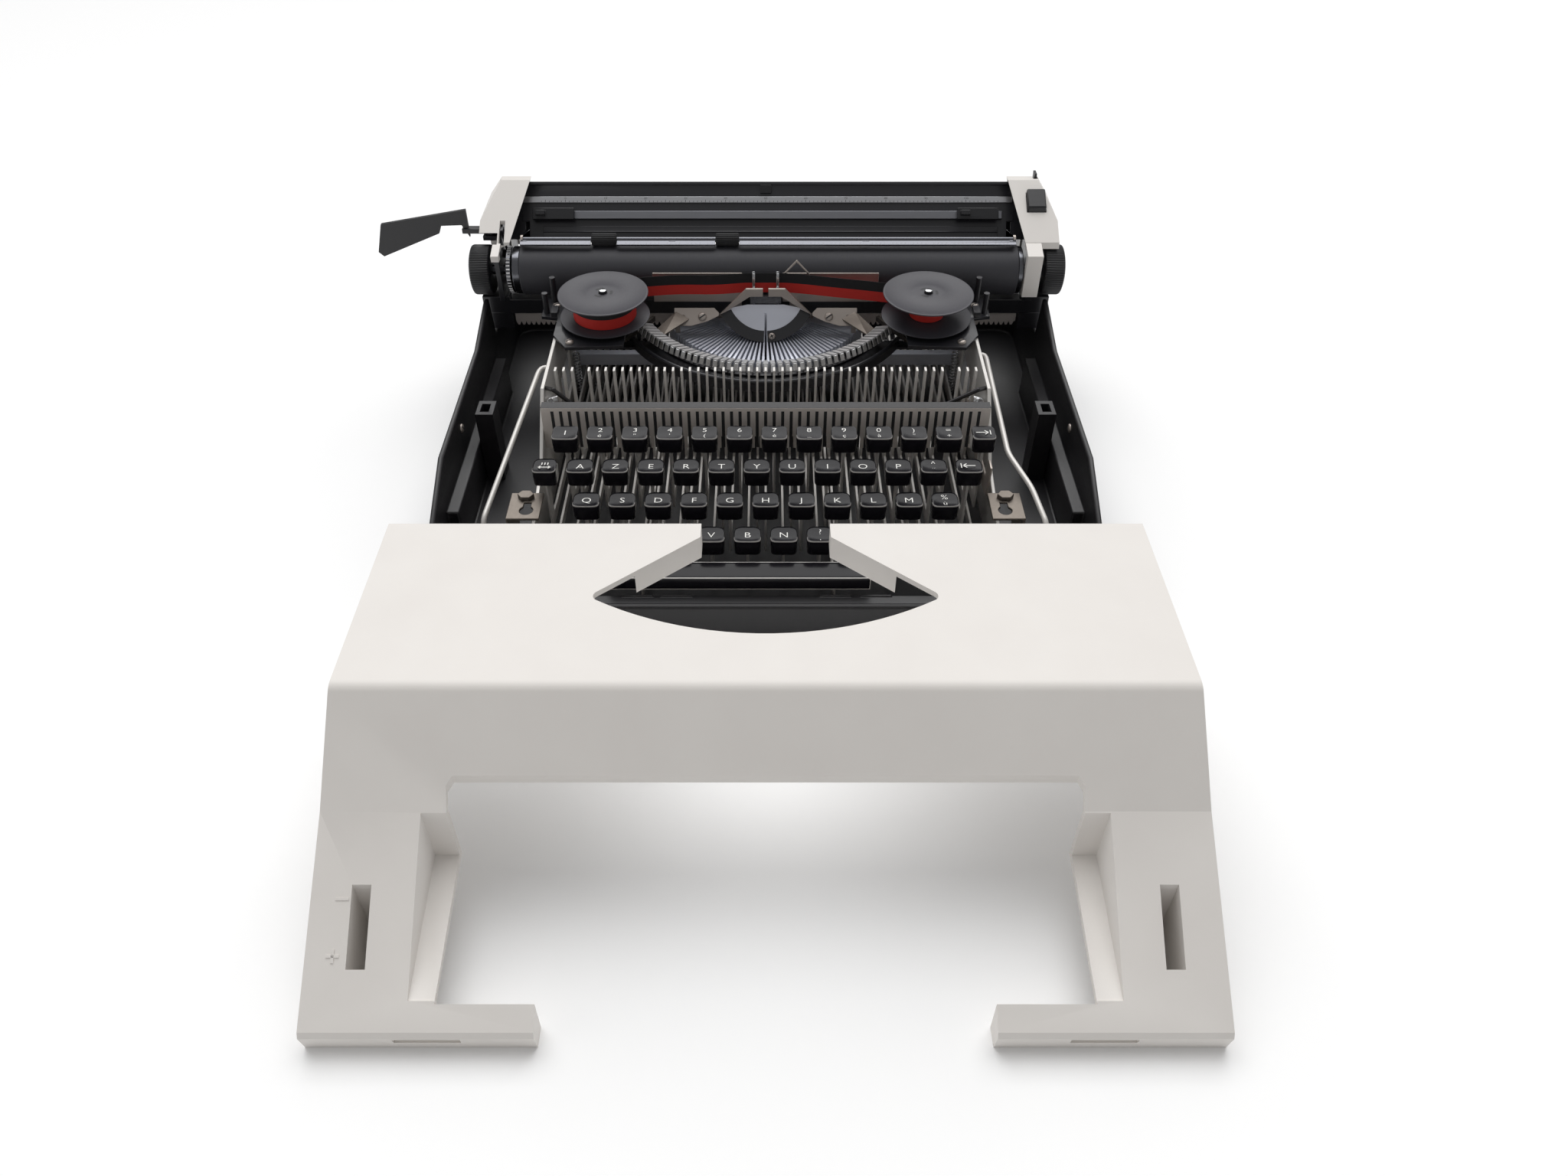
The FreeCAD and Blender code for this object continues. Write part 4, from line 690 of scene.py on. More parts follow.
def build_ribbon():
    """Two bands of silk one above the other, each a thin closed strip carried along the
    ribbon's path: the section's four corners are moved along the path."""
    x, y, dz = ribbon_path(160)
    first = None
    for low, high, finish, word in ((82.4, 88.9, "inked_silk_red", "red"),
                                    (88.9, 95.3, "inked_silk_black", "black")):
        corners = [(-0.1, low), (-0.1, high), (0.1, high), (0.1, low)]
        rings = np.stack([np.stack([x, y + dy, z + dz], -1) for dy, z in corners], 1)
        pile = Pile()
        pile.add(rings, grid_faces(len(x), 4, close_columns=True))
        ends = [[0, 1, 2, 3], [4 * len(x) - 4 + i for i in (3, 2, 1, 0)]]
        pile.faces.extend(ends)
        band = pile.piece("ribbon_" + word, "base")
        dress(band, finish, sharp=40)
        first = first or band
    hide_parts("ribbon")


# ---- carriage details ----
PLATEN_Y = 209.4
PLATEN_Z = 88.0
TABLE_FOOT = np.array([226.0, 100.0])
TABLE_HEAD = np.array([250.5, 127.0])


def build_knobs():
    """Knob: a lathe along X whose rim radius is 14.98 + 0.3 cos(64 a), with a domed end."""
    profile = [(3.05, 0.2, 0), (13.6, 0.0, 0), (14.7, 0.5, 0.3), (14.98, 1.1, 1), (14.98, 11.0, 1),
               (14.7, 11.9, 0.5), (13.6, 12.4, 0), (12.9, 12.3, 0), (12.4, 12.8, 0),
               (8.0, 13.7, 0), (3.0, 13.95, 0), (0.02, 14.0, 0)]
    for node, x, sign in (("platen_knob_left", -171.8, -1), ("platen_knob_right", 173.5, 1)):
        points, faces = lathe(profile, 384, 0.3, 64)
        laid = along_x(points, x, PLATEN_Y, PLATEN_Z, sign)
        knob = made(node + "_ribbed", laid, faces, "platen_turning")
        dress(knob, "moulded_black_grip", sharp=50, node=node)
    teeth = [(10.0, 0.0, 0), (13.9, 0.0, 1), (13.9, 2.2, 1), (10.0, 2.2, 0)]
    points, faces = lathe(teeth, 240, 0.55, 40)
    laid = along_x(points, -161.0, PLATEN_Y, PLATEN_Z)
    wheel = made("line_ratchet_teeth", laid, faces, "platen_turning")
    dress(wheel, "plated_typebar_steel", sharp=35)


BAIL_LEFT = -152.0
BAIL_RIGHT = 155.0
BAIL_Y, BAIL_Z = 210.8, 107.5
BAIL_PIVOT_Y, BAIL_PIVOT_Z = 232.0, 101.0
ARM_THICK = 1.5
ROLLER_LONG = 15.5
TEN_TO_INCH = 2.54


def build_bail():
    """Rod and arms of the paper bail as tubes and plates, its clear line scale as a thin
    curved strip, and two ribbed rollers with radius 3.65 + 0.22 cos(18 a)."""
    y, z = BAIL_Y, BAIL_Z
    pile = Pile()
    pile.add(*tube([(BAIL_LEFT, y, z), (-50, y, z), (50, y, z), (BAIL_RIGHT, y, z)], 1.5, 20))
    for x0, end in ((BAIL_LEFT, -164.9), (BAIL_RIGHT - ARM_THICK, 164.9)):
        pin = [(x, BAIL_PIVOT_Y, BAIL_PIVOT_Z) for x in (x0 + ARM_THICK / 2, end)]
        pile.add(*tube(pin, 1.5, 16))
    dress(pile.piece("bail_rod", "bail_arm"), "bright_drawn_rod", node="paper_bail")
    arms = Pile()
    outline = [(y - 2.2, z + 1), (y - 1, z + 2.2), (y + 1, z + 2.4), (222, 106.2), (234.0, 103),
               (234.6, 101), (234, 99.2), (230, 98.6), (220, 102.2), (y - 1.4, z - 2)]
    n = len(outline)
    for x0 in (BAIL_LEFT, BAIL_RIGHT - ARM_THICK):
        points = [(x, a, b) for x in (x0, x0 + ARM_THICK) for a, b in outline]
        faces = [[i, (i + 1) % n, n + (i + 1) % n, n + i] for i in range(n)]
        arms.add(points, np.array(faces))
        base = arms.count - 2 * n
        arms.faces.append([base + i for i in range(n)][::-1])
        arms.faces.append([base + n + i for i in range(n)])
    dress(arms.piece("bail_arms", "bail_arm", smooth=False), "nickel_plated_sheet")
    t = np.linspace(0, 1, 8)
    sy = 205.5 + 3.1 * t
    sz = 105.9 + 1.0 * np.sin(t * 1.5)
    section = np.concatenate([np.stack([sy, sz], -1), np.stack([sy, sz + 0.7], -1)[::-1]])
    strip = Pile()
    for x0, x1 in ((BAIL_LEFT, -108.4), (-92.1, -31.4), (-16.1, BAIL_RIGHT)):
        rings = np.stack([np.column_stack([np.full(16, x), section]) for x in (x0, x1)])
        strip.add(rings, grid_faces(2, 16, close_columns=True))
        base = strip.count - 32
        strip.faces.append([base + i for i in range(15, -1, -1)])
        strip.faces.append([base + i for i in range(16, 32)])
    dress(strip.piece("bail_line_scale", "bail_arm"), "clear_acrylic", sharp=40)
    ticks = Pile()
    for k in range(-56, 60):
        x = k * TEN_TO_INCH
        if BAIL_LEFT < x < BAIL_RIGHT and not (-109 < x < -91.5 or -32 < x < -15.5):
            long = 1.8 if k % 5 == 0 else 1.1
            ticks.add([(x - 0.14, 205.7, 106.78), (x + 0.14, 205.7, 106.78),
                       (x + 0.14, 205.7 + long, 107.35), (x - 0.14, 205.7 + long, 107.35)],
                      [(0, 1, 2, 3)])
    marks = flat_piece(ticks, "bail_scale_marks", "bail_arm", MATERIALS["cap_edge_plastic"])
    profile = [(1.55, 0, 0), (3.1, 0.0, 0), (3.65, 0.5, 1), (3.65, ROLLER_LONG - 0.5, 1),
               (3.1, ROLLER_LONG, 0), (1.55, ROLLER_LONG, 0)]
    for side, x0, long in (("left", -108.0, ROLLER_LONG), ("right", -31.0, 14.5)):
        points, faces = lathe(profile, 144, 0.22, 18)
        laid = along_x(points * (1, 1, long / ROLLER_LONG), x0, y, z)
        name = "bail_roller_%s_ribbed" % side
        roller = made(name, laid, faces, "roller_%s_turning" % side)
        dress(roller, "moulded_soft_rubber", sharp=50, node="bail_roller_" + side)


def on_table(s, h, x):
    """Point s mm up the sloping paper table, h mm proud of it."""
    run = (TABLE_HEAD - TABLE_FOOT) / np.linalg.norm(TABLE_HEAD - TABLE_FOOT)
    s = np.asarray(s, float)
    y = TABLE_FOOT[0] + s * run[0] - h * run[1]
    z = TABLE_FOOT[1] + s * run[1] + h * run[0]
    return np.stack([np.broadcast_to(x, y.shape), y, z], -1)


def build_scale_marks():
    """Ticks every 2.54 mm (ten to the inch) and a number at every tenth, as flat shapes
    laid on the slope of the scale strip."""
    marks = Pile()
    for k in range(-56, 59):
        x = k * TEN_TO_INCH
        tall = 1.5 if k % 5 == 0 else 0.9
        xs = np.array([x - 0.14, x + 0.14, x + 0.14, x - 0.14])
        marks.add(on_table([23.4, 23.4, 23.4 + tall, 23.4 + tall], 0.84, xs), [(0, 1, 2, 3)])
    for k in range(0, 12):
        x = (k * 10 - 50) * TEN_TO_INCH
        if x > 145:
            continue
        points, faces = words(str(k * 10), 1.9, (0, 0, 0))
        laid = on_table(25.8 + points[:, 1], 0.84, x + points[:, 0])
        marks.add(laid, faces)
    piece = flat_piece(marks, "paper_scale_marks", "upper_carriage", MATERIALS["print_ink_and_slot_shade"])


# ---- type basket ----
FAN_Y = 213.6
TYPEBARS = 44
FAN_HALF = 60.0             # degrees from the middle of the fan to its first bar
REST_TURN = 68.7            # degrees that a typebar lies back from the striking place
PIVOT_Y = 172.9
PIVOT_Z = 34.8


def turned(points, degrees, axis, centre):
    """Points turned about a line through centre along axis (0 for X, 2 for Z)."""
    a = math.radians(degrees)
    c, s = math.cos(a), math.sin(a)
    p = np.asarray(points, float) - centre
    i, j = ((1, 2), (2, 0), (0, 1))[axis]
    out = p.copy()
    out[:, i] = c * p[:, i] - s * p[:, j]
    out[:, j] = s * p[:, i] + c * p[:, j]
    return out + centre


def build_slugs():
    """Type slugs: a chamfered block with two raised letter faces, turned down to rest and
    then round the fan to each bar's place."""
    w, z0, z1, y0, y1 = 1.45, 82.9, 93.1, 184.9, 189.6
    c = 0.45
    ring = [(-w, y0), (w, y0), (w, y1 - c), (w - c, y1), (-w + c, y1), (-w, y1 - c)]
    levels = [(z0, 0.85), (z0 + c, 1.0), (z1 - c, 1.0), (z1, 0.85)]
    middle = (y0 + y1) / 2
    body = [(x * f, middle + (y - middle) * f, z) for z, f in levels for x, y in ring]
    faces = [list(f) for f in grid_faces(4, 6, close_columns=True)]
    faces += [[5, 4, 3, 2, 1, 0], [18, 19, 20, 21, 22, 23]]
    letters = []
    for low, high in ((84.2, 86.8), (89.0, 91.6)):
        letters.append(block(-1.0, 1.0, y1 - 0.1, y1 + 0.55, low, low + 0.6))
        letters.append(block(-0.3, 0.3, y1 - 0.1, y1 + 0.55, low, high))
        letters.append(block(-1.0, 1.0, y1 - 0.1, y1 + 0.55, high - 0.6, high))
    groups = {"base": Pile(), "typebar_h_arm": Pile()}
    for step in range(TYPEBARS):
        angle = -FAN_HALF + 2 * FAN_HALF * step / (TYPEBARS - 1) - FAN_HALF / (TYPEBARS - 1)
        pile = groups["typebar_h_arm" if abs(angle) < 0.01 else "base"]
        for points, quads in [(body, faces)] + letters:
            p = turned(points, REST_TURN, 0, (0, PIVOT_Y, PIVOT_Z))
            p = turned(p, angle, 2, (0, FAN_Y, 0))
            pile.add(p, quads)
    for carrier, pile in groups.items():
        piece = pile.piece("type_slugs_" + carrier, carrier, smooth=False)
        dress(piece, "chrome_plated_steel")


SHIELD_TILT = math.radians(49.0)
SHIELD_FOOT = (172.0, 58.0)
SHIELD_RADIUS = 31.0
RING_INNER, RING_OUTER = 24.0, 31.1
RING_FROM, RING_TO = 2.2, 64.0          # degrees either side of the middle
STRAP = ((55.5, 184.2, 73.2), (47.5, 180.6, 69.6), (62.5, 165.5, 67.4), (68.0, 171.0, 67.4))
FAN_BAR = ((69.8, 189.7, 66), (71.7, 190.9, 66), (88.4, 164.9, 66), (86.5, 163.7, 66))


def on_shield(x, v, w):
    """Point at x, v mm up the tilted shield over the segment and w mm proud of it."""
    x, v, w = np.broadcast_arrays(np.asarray(x, float), v, w)
    c, s = math.cos(SHIELD_TILT), math.sin(SHIELD_TILT)
    return np.stack([x, SHIELD_FOOT[0] + v * c - w * s, SHIELD_FOOT[1] + v * s + w * c], -1)


def build_shield():
    """Black ring on the shield: an arc band between two radii about the shield's middle,
    (r sin a, R - r cos a), in two halves beside the middle typebar's slot; a smoky card
    guide behind it, and the two straps from the brackets down beside the fan."""
    ring = Pile()
    for side in (-1, 1):
        a = side * np.radians(np.linspace(RING_FROM, RING_TO, 40))
        section = [(RING_INNER, 0.02), (RING_INNER, 0.5), (RING_OUTER, 0.5), (RING_OUTER, 0.02)]
        rings = [on_shield(r * np.sin(a), SHIELD_RADIUS - r * np.cos(a), w) for r, w in section]
        ring.add(np.stack(rings, 1), grid_faces(len(a), 4, close_columns=True))
        base = ring.count - 4 * len(a)
        ring.faces.append([base + i for i in range(4)])
        ring.faces.append([base + 4 * len(a) - 4 + i for i in (3, 2, 1, 0)])
    dress(ring.piece("shield_ring", "base", smooth=False), "black_enamelled_steel")
    guide = made("card_guide", *block(-9.6, 9.6, 187.75, 188.15, 76.2, 81.3), "base", smooth=False)
    dress(guide, "smoky_acrylic")
    straps = Pile()
    for side in (-1, 1):
        for corners, thick in ((STRAP, 1.0), (FAN_BAR, 3.0)):
            top = np.array(corners) * (side, 1, 1)
            straps.add(np.concatenate([top - (0, 0, thick), top]), BLOCK_FACES)
    dress(straps.piece("fan_straps", "base", smooth=False), "tarnished_nickel")


# The cover's arms slope up from their foot.
ARM_FOOT_Y, ARM_FOOT_Z = -252.6, 13.0
ARM_RUN, ARM_RISE = 69.1, 45.5
ARM_SLOPE = 0.6585
STROKE_LONG, STROKE_THIN = 2.6, 0.55


def build_arm_marks():
    """A minus and a plus moulded on the cover's left arm, each stroke a low bar lying on
    the arm's slope."""
    tilt = math.atan2(ARM_RISE, ARM_RUN)
    across = (STROKE_LONG, STROKE_THIN)
    along = (STROKE_THIN, STROKE_LONG)
    marks = Pile()
    for x, up, signs in ((-165.4, 49.2, (across,)), (-167.4, 27.8, (across, along))):
        for half_x, half_s in signs:
            points, faces = block(x - half_x, x + half_x, up - half_s, up + half_s, -0.3, 0.3)
            p = turned(points, math.degrees(tilt), 0, (0, 0, 0)) + (0, ARM_FOOT_Y, ARM_FOOT_Z)
            marks.add(p, faces)
    piece = marks.piece("arm_marks", "top_cover", smooth=False)
    dress(piece, "moulded_abs_cover")


# ---- rods, springs and screws ----
def coil(a, b, radius, turns, wire):
    """Helix from a to b: a + t (b - a) + r cos(2 pi n t) n + r sin(2 pi n t) m, with closed
    ends, carried as a tube."""
    a = np.asarray(a, float)
    b = np.asarray(b, float)
    t = np.linspace(0, 1, turns * 14)
    axis = (b - a) / np.linalg.norm(b - a)
    guide = np.array([0.3, 0.9, 0.1])
    n = np.cross(axis, guide)
    n /= np.linalg.norm(n)
    m = np.cross(axis, n)
    w = 2 * math.pi * turns * t
    path = a + t[:, None] * (b - a) + radius * (np.cos(w)[:, None] * n + np.sin(w)[:, None] * m)
    return tube(path, wire, 6)


def build_links():
    """Two bent rods beside the keyboard, each a tube along straight runs with rounded
    corners, and four return springs, each a helix."""
    rods = Pile()
    left = rounded_path([(-127, 130, 66), (-134, 130, 66), (-152.5, 18.7, 40),
                         (-152.5, 18.7, 11)], 6)
    right = rounded_path([(127, 146, 65), (133, 146, 65), (134, 57, 57), (143, 30, 54),
                          (148, 6, 48), (148, 6, 11)], 5)
    rods.add(*tube(left, 1.5, 16))
    rods.add(*tube(right, 1.5, 16))
    piece = rods.piece("link_rods_bent", "base")
    dress(piece, "zinc_plated_strip", node="link_rods")
    springs = Pile()
    for x in (-122.5, 122.5):
        springs.add(*coil((x, 186.4, 11.5), (x, 186.4, 41.5), 1.9, 13, 0.45))
    for x in (-121.5, 121.5):
        springs.add(*coil((x, 88, 70), (x, 112, 56), 1.9, 14, 0.45))
    dress(springs.piece("return_springs", "base"), "chrome_plated_steel")


def screw_head(heads, slots, centre, normal, radius, cross=False):
    """Domed head as a lathe on the given normal with a driver slot lying on its top."""
    profile = [(0.02, 1.35, 0), (0.5 * radius, 1.3, 0), (0.85 * radius, 1.0, 0),
               (radius, 0.5, 0), (radius, -0.4, 0), (0.02, -0.4, 0)]
    points, faces = lathe(profile, 28)
    normal = np.asarray(normal, float) / np.linalg.norm(normal)
    guide = np.array([0.0, 1.0, 0.0]) if abs(normal[1]) < 0.9 else np.array([1.0, 0.0, 0.0])
    u = np.cross(guide, normal)
    u /= np.linalg.norm(u)
    v = np.cross(normal, u)
    basis = np.stack([u, v, normal])
    heads.add(points @ basis + centre, faces)
    long, thin = 0.82 * radius, 0.16 * radius
    for turn in (0.6, 0.6 + math.pi / 2)[:2 if cross else 1]:
        reach = long * (0.7 if cross else 1.0)
        flat, quads = block(-reach, reach, -thin, thin, 0.6, 1.38)
        flat = turned(flat, math.degrees(turn), 2, (0, 0, 0))
        slots.add(flat @ basis + centre, quads)


def build_screws():
    """Domed heads, each a lathe set on the face that it holds, with dark driver slots of painted
    shade.
    """
    heads = Pile()
    slots = Pile()
    up = (0, 0, 1)
    tilted = (0, -math.sin(SHIELD_TILT), math.cos(SHIELD_TILT))
    for x in (-39.5, 39.5):
        screw_head(heads, slots, on_shield(x, 15.6, 1.4), tilted, 2.6)
    screw_head(heads, slots, on_shield(3.9, 3.6, 0.6), tilted, 2.1, cross=True)
    for side in (-1, 1):
        for x, y in ((116.0, 137.5), (129.2, 180.0)):
            screw_head(heads, slots, (side * x, y, 78.9), up, 2.4)
    for side in (-1, 1):
        screw_head(heads, slots, (side * 175.2, 88.0, 52.0), (-side, 0, 0), 2.6)
        screw_head(heads, slots, (side * 127.2, 60.0, 28.0), (side, 0, 0), 2.2)
    piece = heads.piece("screw_heads", "base")
    dress(piece, "nickel_plated_sheet", sharp=50, node="screws")
    # Driver slots: dark blocks of painted shade sunk in the heads, not cut.
    dark = slots.piece("screw_slots", "base", smooth=False)
    dress(dark, "print_ink_and_slot_shade")


def build_comb_slots():
    """The comb's slots, one at every quarter key pitch, as thin dark bars of painted shade let
    into its face, and the dark strip along its lip."""
    slots = Pile()
    for k in range(-25, 26):
        x = k * KEY_PITCH / 4
        slots.add(*block(x - 0.85, x + 0.85, 74.93, 75.02, 48.2, 72.4))
    dress(slots.piece("comb_slots", "base", smooth=False), "print_ink_and_slot_shade")
    strip = Pile()
    strip.add(*block(-124.9, 124.9, 75.1, 80.95, 74.45, 74.62))
    lip = strip.piece("comb_strip", "base", smooth=False)
    dress(lip, "moulded_polystyrene_pan")


WELL_DROP = 3.6


def build_arm_wells():
    """Four thin walls round each slot of the cover's arms, their tops a drop under the
    arm's slope: the foot's height plus the slope times the distance behind the foot."""
    wells = Pile()
    for side in (-1, 1):
        for x0, x1, y0, y1 in ((153.3, 154.4, -234.6, -205.9), (162.1, 163.2, -234.6, -205.9),
                               (154.4, 162.1, -234.6, -233.6), (154.4, 162.1, -206.9, -205.9)):
            a, b = sorted((side * x0, side * x1))
            points, faces = block(a, b, y0, y1, 0.8, 30.0)
            points = np.array(points, float)
            high = points[:, 2] > 20.0
            run = points[high, 1] - ARM_FOOT_Y
            points[high, 2] = ARM_FOOT_Z + ARM_SLOPE * run - WELL_DROP
            wells.add(points, faces)
    piece = wells.piece("arm_wells", "top_cover", smooth=False)
    dress(piece, "moulded_abs_cover")


def blacken_posts(piece):
    """The two outer posts are moulded with the pan: faces whose middle lies more than 150 mm
    from the keyboard's middle take its black."""
    mesh = piece.data
    middles = np.empty(len(mesh.polygons) * 3)
    mesh.polygons.foreach_get("center", middles)
    x = middles.reshape(-1, 3)[:, 0] / MM - SHIFT[0]
    mesh.materials.append(MATERIALS["moulded_polystyrene_pan"])
    mesh.polygons.foreach_set("material_index", (np.abs(x) > 150.0).astype(np.int32))


def build_carriage_fillers():
    """Dark plates that close the carriage's ends: strips of the table's slope from its ends to
    the carriage sides, a small upright plate behind each lower corner of the table, and a
    skirt under each end of the carriage base."""
    table = Pile()
    for x0, x1 in ((-162.3, -152.5), (155.5, 164.7)):
        corners = ((x0, 0.5), (x1, 0.5), (x1, 26.0), (x0, 26.0))
        low, high = [np.array([on_table(s, h, x) for x, s in corners]) for h in (-1.6, -0.2)]
        table.add(np.concatenate([low, high]), BLOCK_FACES)
    for x0, x1 in ((-154.2, -149.4), (152.7, 157.6)):
        table.add(*block(x0, x1, 237.6, 238.4, 91.0, 110.0))
    piece = table.piece("table_ends", "upper_carriage", smooth=False)
    dress(piece, "black_enamelled_steel")
    skirts = Pile()
    for x0, x1 in ((-180.6, -163.4), (163.4, 180.6)):
        skirts.add(*block(x0, x1, 204.3, 205.3, 49.2, 60.5))
    piece = skirts.piece("base_skirts", "lower_carriage", smooth=False)
    dress(piece, "black_enamelled_steel")


def build_finished_nodes():
    """Every remaining CAD piece, with its edges rounded and its own finish."""
    for node, (finish, body, width) in NODE_FINISH.items():
        piece = softened(node, body, width, MATERIALS[finish])
        if node == "side_frames":
            blacken_posts(piece)


def paint_levers():
    """The key levers stay as they are in the CAD model and take the strip's finish."""
    levers = ["keys_row_1", "keys_row_2", "keys_row_3", "keys_row_4", "key_h", "space_bar",
              "margin_release_key", "backspace_key", "tab_key", "shift_key_left",
              "shift_key_right", "shift_lock_key"]
    for node in levers:
        node_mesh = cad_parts[node].data
        node_mesh.materials.clear()
        node_mesh.materials.append(MATERIALS["zinc_plated_strip"])


# ---- stage ----
CAMERA_PLACE = (0.02925, -0.4612, 0.4328)
CAMERA_DOWN = 43.12         # degrees below level
CAMERA_SHIFT = 0.0117
SUN_FROM = (-0.05, 0.58, 1.0)
SUN_WIDTH = 64.0            # degrees across, as wide as an overcast sky's bright part
FLOOR_HALF = 6.0


def area_light(name, place, aim, energy, size_x, size_y):
    """A rectangular soft light at place, turned to shine at aim."""
    light = bpy.data.lights.new(name, "AREA")
    light.shape = "RECTANGLE"
    light.size = size_x
    light.size_y = size_y
    light.energy = energy
    holder = bpy.data.objects.new(name, light)
    holder.location = place
    holder.rotation_euler = (Vector(aim) - Vector(place)).to_track_quat("-Z", "Y").to_euler()
    bpy.context.scene.collection.objects.link(holder)
    return holder


def build_stage(look):
    """Pale floor, a wide soft light from above and behind, three weak fills and the camera."""
    half = FLOOR_HALF
    mesh = bpy.data.meshes.new("floor")
    mesh.from_pydata([(-half, -half, 0), (half, -half, 0), (half, half, 0), (-half, half, 0)], [],
                     [(0, 1, 2, 3)])
    floor = bpy.data.objects.new("floor", mesh)
    mesh.materials.append(finish_of("matt_paper_floor", look.floor, 0.9))
    bpy.context.scene.collection.objects.link(floor)
    world = bpy.data.worlds.new("studio")
    world.use_nodes = True
    world.node_tree.nodes["Background"].inputs["Color"].default_value = (1.0, 1.0, 1.0, 1.0)
    world.node_tree.nodes["Background"].inputs["Strength"].default_value = look.ambient
    bpy.context.scene.world = world
    sky = bpy.data.lights.new("wide_overhead", "SUN")
    sky.energy = look.key_strength
    sky.angle = math.radians(SUN_WIDTH)
    holder = bpy.data.objects.new("wide_overhead", sky)
    holder.rotation_euler = Vector(SUN_FROM).to_track_quat("Z", "Y").to_euler()
    bpy.context.scene.collection.objects.link(holder)
    area_light("overhead", (0.0, 0.6, 1.3), (0.03, 0.0, 0.0), look.fill_power, 1.6, 1.0)
    area_light("left_fill", (-1.3, -0.6, 0.9), (0.0, 0.0, 0.05), look.fill_power * 0.4, 0.9, 0.9)
    area_light("back_right", (1.0, 1.1, 0.9), (0.0, 0.1, 0.05), look.fill_power * 0.5, 0.8, 0.8)
    camera = bpy.data.cameras.new("camera")
    camera.sensor_width = 36.0
    camera.lens = look.lens
    camera.shift_x = CAMERA_SHIFT
    camera.clip_start = 0.01
    camera.clip_end = 20.0
    holder = bpy.data.objects.new("camera", camera)
    holder.location = CAMERA_PLACE
    holder.rotation_euler = Euler((math.radians(90.0 - CAMERA_DOWN), 0.0, 0.0))
    bpy.context.scene.collection.objects.link(holder)
    bpy.context.scene.camera = holder
    bpy.context.scene.view_settings.view_transform = "Standard"


# ---- add-on ----
class TypewriterLook(bpy.types.PropertyGroup):
    """Colours, light and lens that a user may want to change."""

    cover: bpy.props.StringProperty(name="Cover colour", default="#E8E4DF",
                                    description="sRGB hex colour of the moulded cover")
    cover_shade: bpy.props.StringProperty(name="Cover shade", default="#E1DCD7",
                                          description="Second tone of the cover's plastic")
    end_cover: bpy.props.StringProperty(name="End cover colour", default="#E1DDD8",
                                        description="sRGB hex colour of the carriage's ends")
    pan: bpy.props.StringProperty(name="Pan colour", default="#1B1A1D",
                                  description="sRGB hex colour of the base pan")
    caps: bpy.props.StringProperty(name="Key colour", default="#17161A",
                                   description="sRGB hex colour of the key caps")
    nickel: bpy.props.StringProperty(name="Nickel colour", default="#B3AAA3",
                                     description="sRGB hex colour of the nickel plating")
    ribbon_red: bpy.props.StringProperty(name="Ribbon red", default="#C0241B",
                                         description="sRGB hex colour of the lower half")
    floor: bpy.props.StringProperty(name="Floor colour", default="#FFFFFF",
                                    description="sRGB hex colour of the floor")
    lens: bpy.props.FloatProperty(name="Lens", default=26.14, unit="CAMERA", min=10.0,
                                  description="Focal length of the camera")
    key_strength: bpy.props.FloatProperty(name="Main light", default=2.15, min=0.0,
                                          description="Strength of the wide light overhead")
    fill_power: bpy.props.FloatProperty(name="Fill lights", default=2.5, unit="POWER",
                                        description="Power of the small fill lights")
    ambient: bpy.props.FloatProperty(name="Ambient light", default=0.32,
                                     description="Strength of the even light all round")


class TYPEWRITER_OT_materials(bpy.types.Operator):
    """Make every finish of the machine"""
    bl_idname = "typewriter.materials"
    bl_label = "Finishes"

    def execute(self, context):
        make_materials(context.scene.typewriter_look)
        return {"FINISHED"}


class TYPEWRITER_OT_finished_nodes(bpy.types.Operator):
    """Round and finish the pan, frames, carriage, type basket and cover"""
    bl_idname = "typewriter.finished_nodes"
    bl_label = "Frames and covers"

    def execute(self, context):
        build_finished_nodes()
        paint_levers()
        return {"FINISHED"}


class TYPEWRITER_OT_keys(bpy.types.Operator):
    """Make the key caps with their legends, and the space bar"""
    bl_idname = "typewriter.keys"
    bl_label = "Keys"

    def execute(self, context):
        build_keys()
        build_space_bar()
        return {"FINISHED"}


class TYPEWRITER_OT_ribbon(bpy.types.Operator):
    """Make the two spools and the two-coloured ribbon"""
    bl_idname = "typewriter.ribbon"
    bl_label = "Ribbon and spools"

    def execute(self, context):
        build_spools()
        build_ribbon()
        return {"FINISHED"}


class TYPEWRITER_OT_type_basket(bpy.types.Operator):
    """Make the type slugs and the shield over the segment"""
    bl_idname = "typewriter.type_basket"
    bl_label = "Type basket"

    def execute(self, context):
        build_slugs()
        build_shield()
        return {"FINISHED"}


class TYPEWRITER_OT_carriage(bpy.types.Operator):
    """Make the knobs, the paper bail, the scale's marks and the plates at the ends"""
    bl_idname = "typewriter.carriage"
    bl_label = "Carriage details"

    def execute(self, context):
        build_knobs()
        build_bail()
        build_scale_marks()
        build_carriage_fillers()
        return {"FINISHED"}


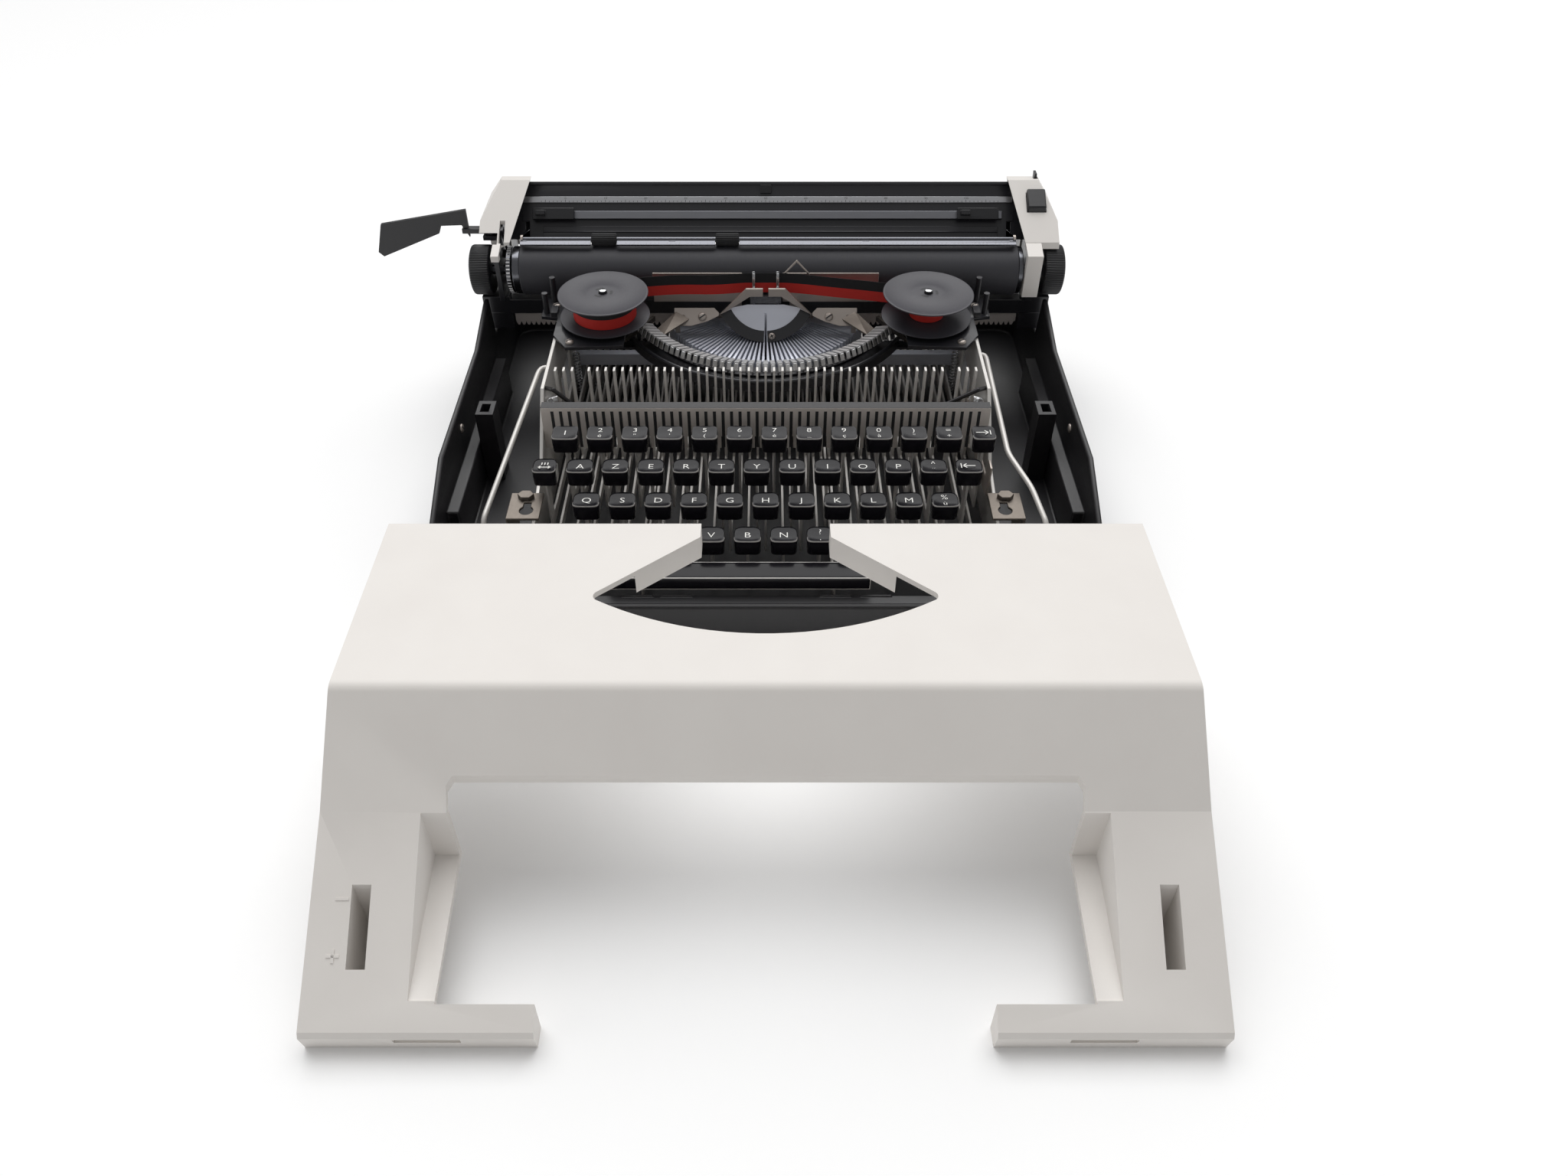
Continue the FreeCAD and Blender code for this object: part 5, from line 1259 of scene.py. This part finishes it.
class TYPEWRITER_OT_hardware(bpy.types.Operator):
    """Make the link rods, springs, screws, the comb's slots and the cover's small parts"""
    bl_idname = "typewriter.hardware"
    bl_label = "Hardware and small parts"

    def execute(self, context):
        build_links()
        build_screws()
        build_arm_marks()
        build_arm_wells()
        build_comb_slots()
        return {"FINISHED"}


class TYPEWRITER_OT_stage(bpy.types.Operator):
    """Make the floor, the lights and the camera"""
    bl_idname = "typewriter.stage"
    bl_label = "Stage"

    def execute(self, context):
        build_stage(context.scene.typewriter_look)
        return {"FINISHED"}


OPERATORS = (TYPEWRITER_OT_materials, TYPEWRITER_OT_finished_nodes, TYPEWRITER_OT_keys,
             TYPEWRITER_OT_ribbon, TYPEWRITER_OT_type_basket, TYPEWRITER_OT_carriage,
             TYPEWRITER_OT_hardware, TYPEWRITER_OT_stage)


class TYPEWRITER_PT_panel(bpy.types.Panel):
    """Sidebar panel with one button for each piece or group of pieces"""
    bl_idname = "TYPEWRITER_PT_panel"
    bl_label = "Portable typewriter"
    bl_space_type = "VIEW_3D"
    bl_region_type = "UI"
    bl_category = "Typewriter"

    def draw(self, context):
        look = context.scene.typewriter_look
        for name in look.bl_rna.properties.keys():
            if name not in ("rna_type", "name"):
                self.layout.prop(look, name)
        for operator in OPERATORS:
            self.layout.operator(operator.bl_idname)


def register():
    """Add the properties, the operators and the panel to Blender"""
    for kind in (TypewriterLook,) + OPERATORS + (TYPEWRITER_PT_panel,):
        bpy.utils.register_class(kind)
    bpy.types.Scene.typewriter_look = bpy.props.PointerProperty(type=TypewriterLook)


def unregister():
    """Take the panel, the operators and the properties out again"""
    del bpy.types.Scene.typewriter_look
    for kind in reversed((TypewriterLook,) + OPERATORS + (TYPEWRITER_PT_panel,)):
        bpy.utils.unregister_class(kind)


def main():
    """Make every piece in order"""
    register()
    bpy.ops.typewriter.materials()
    bpy.ops.typewriter.finished_nodes()
    bpy.ops.typewriter.keys()
    bpy.ops.typewriter.ribbon()
    bpy.ops.typewriter.type_basket()
    bpy.ops.typewriter.carriage()
    bpy.ops.typewriter.hardware()
    bpy.ops.typewriter.stage()
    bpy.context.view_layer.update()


if __name__ == "__main__":
    main()
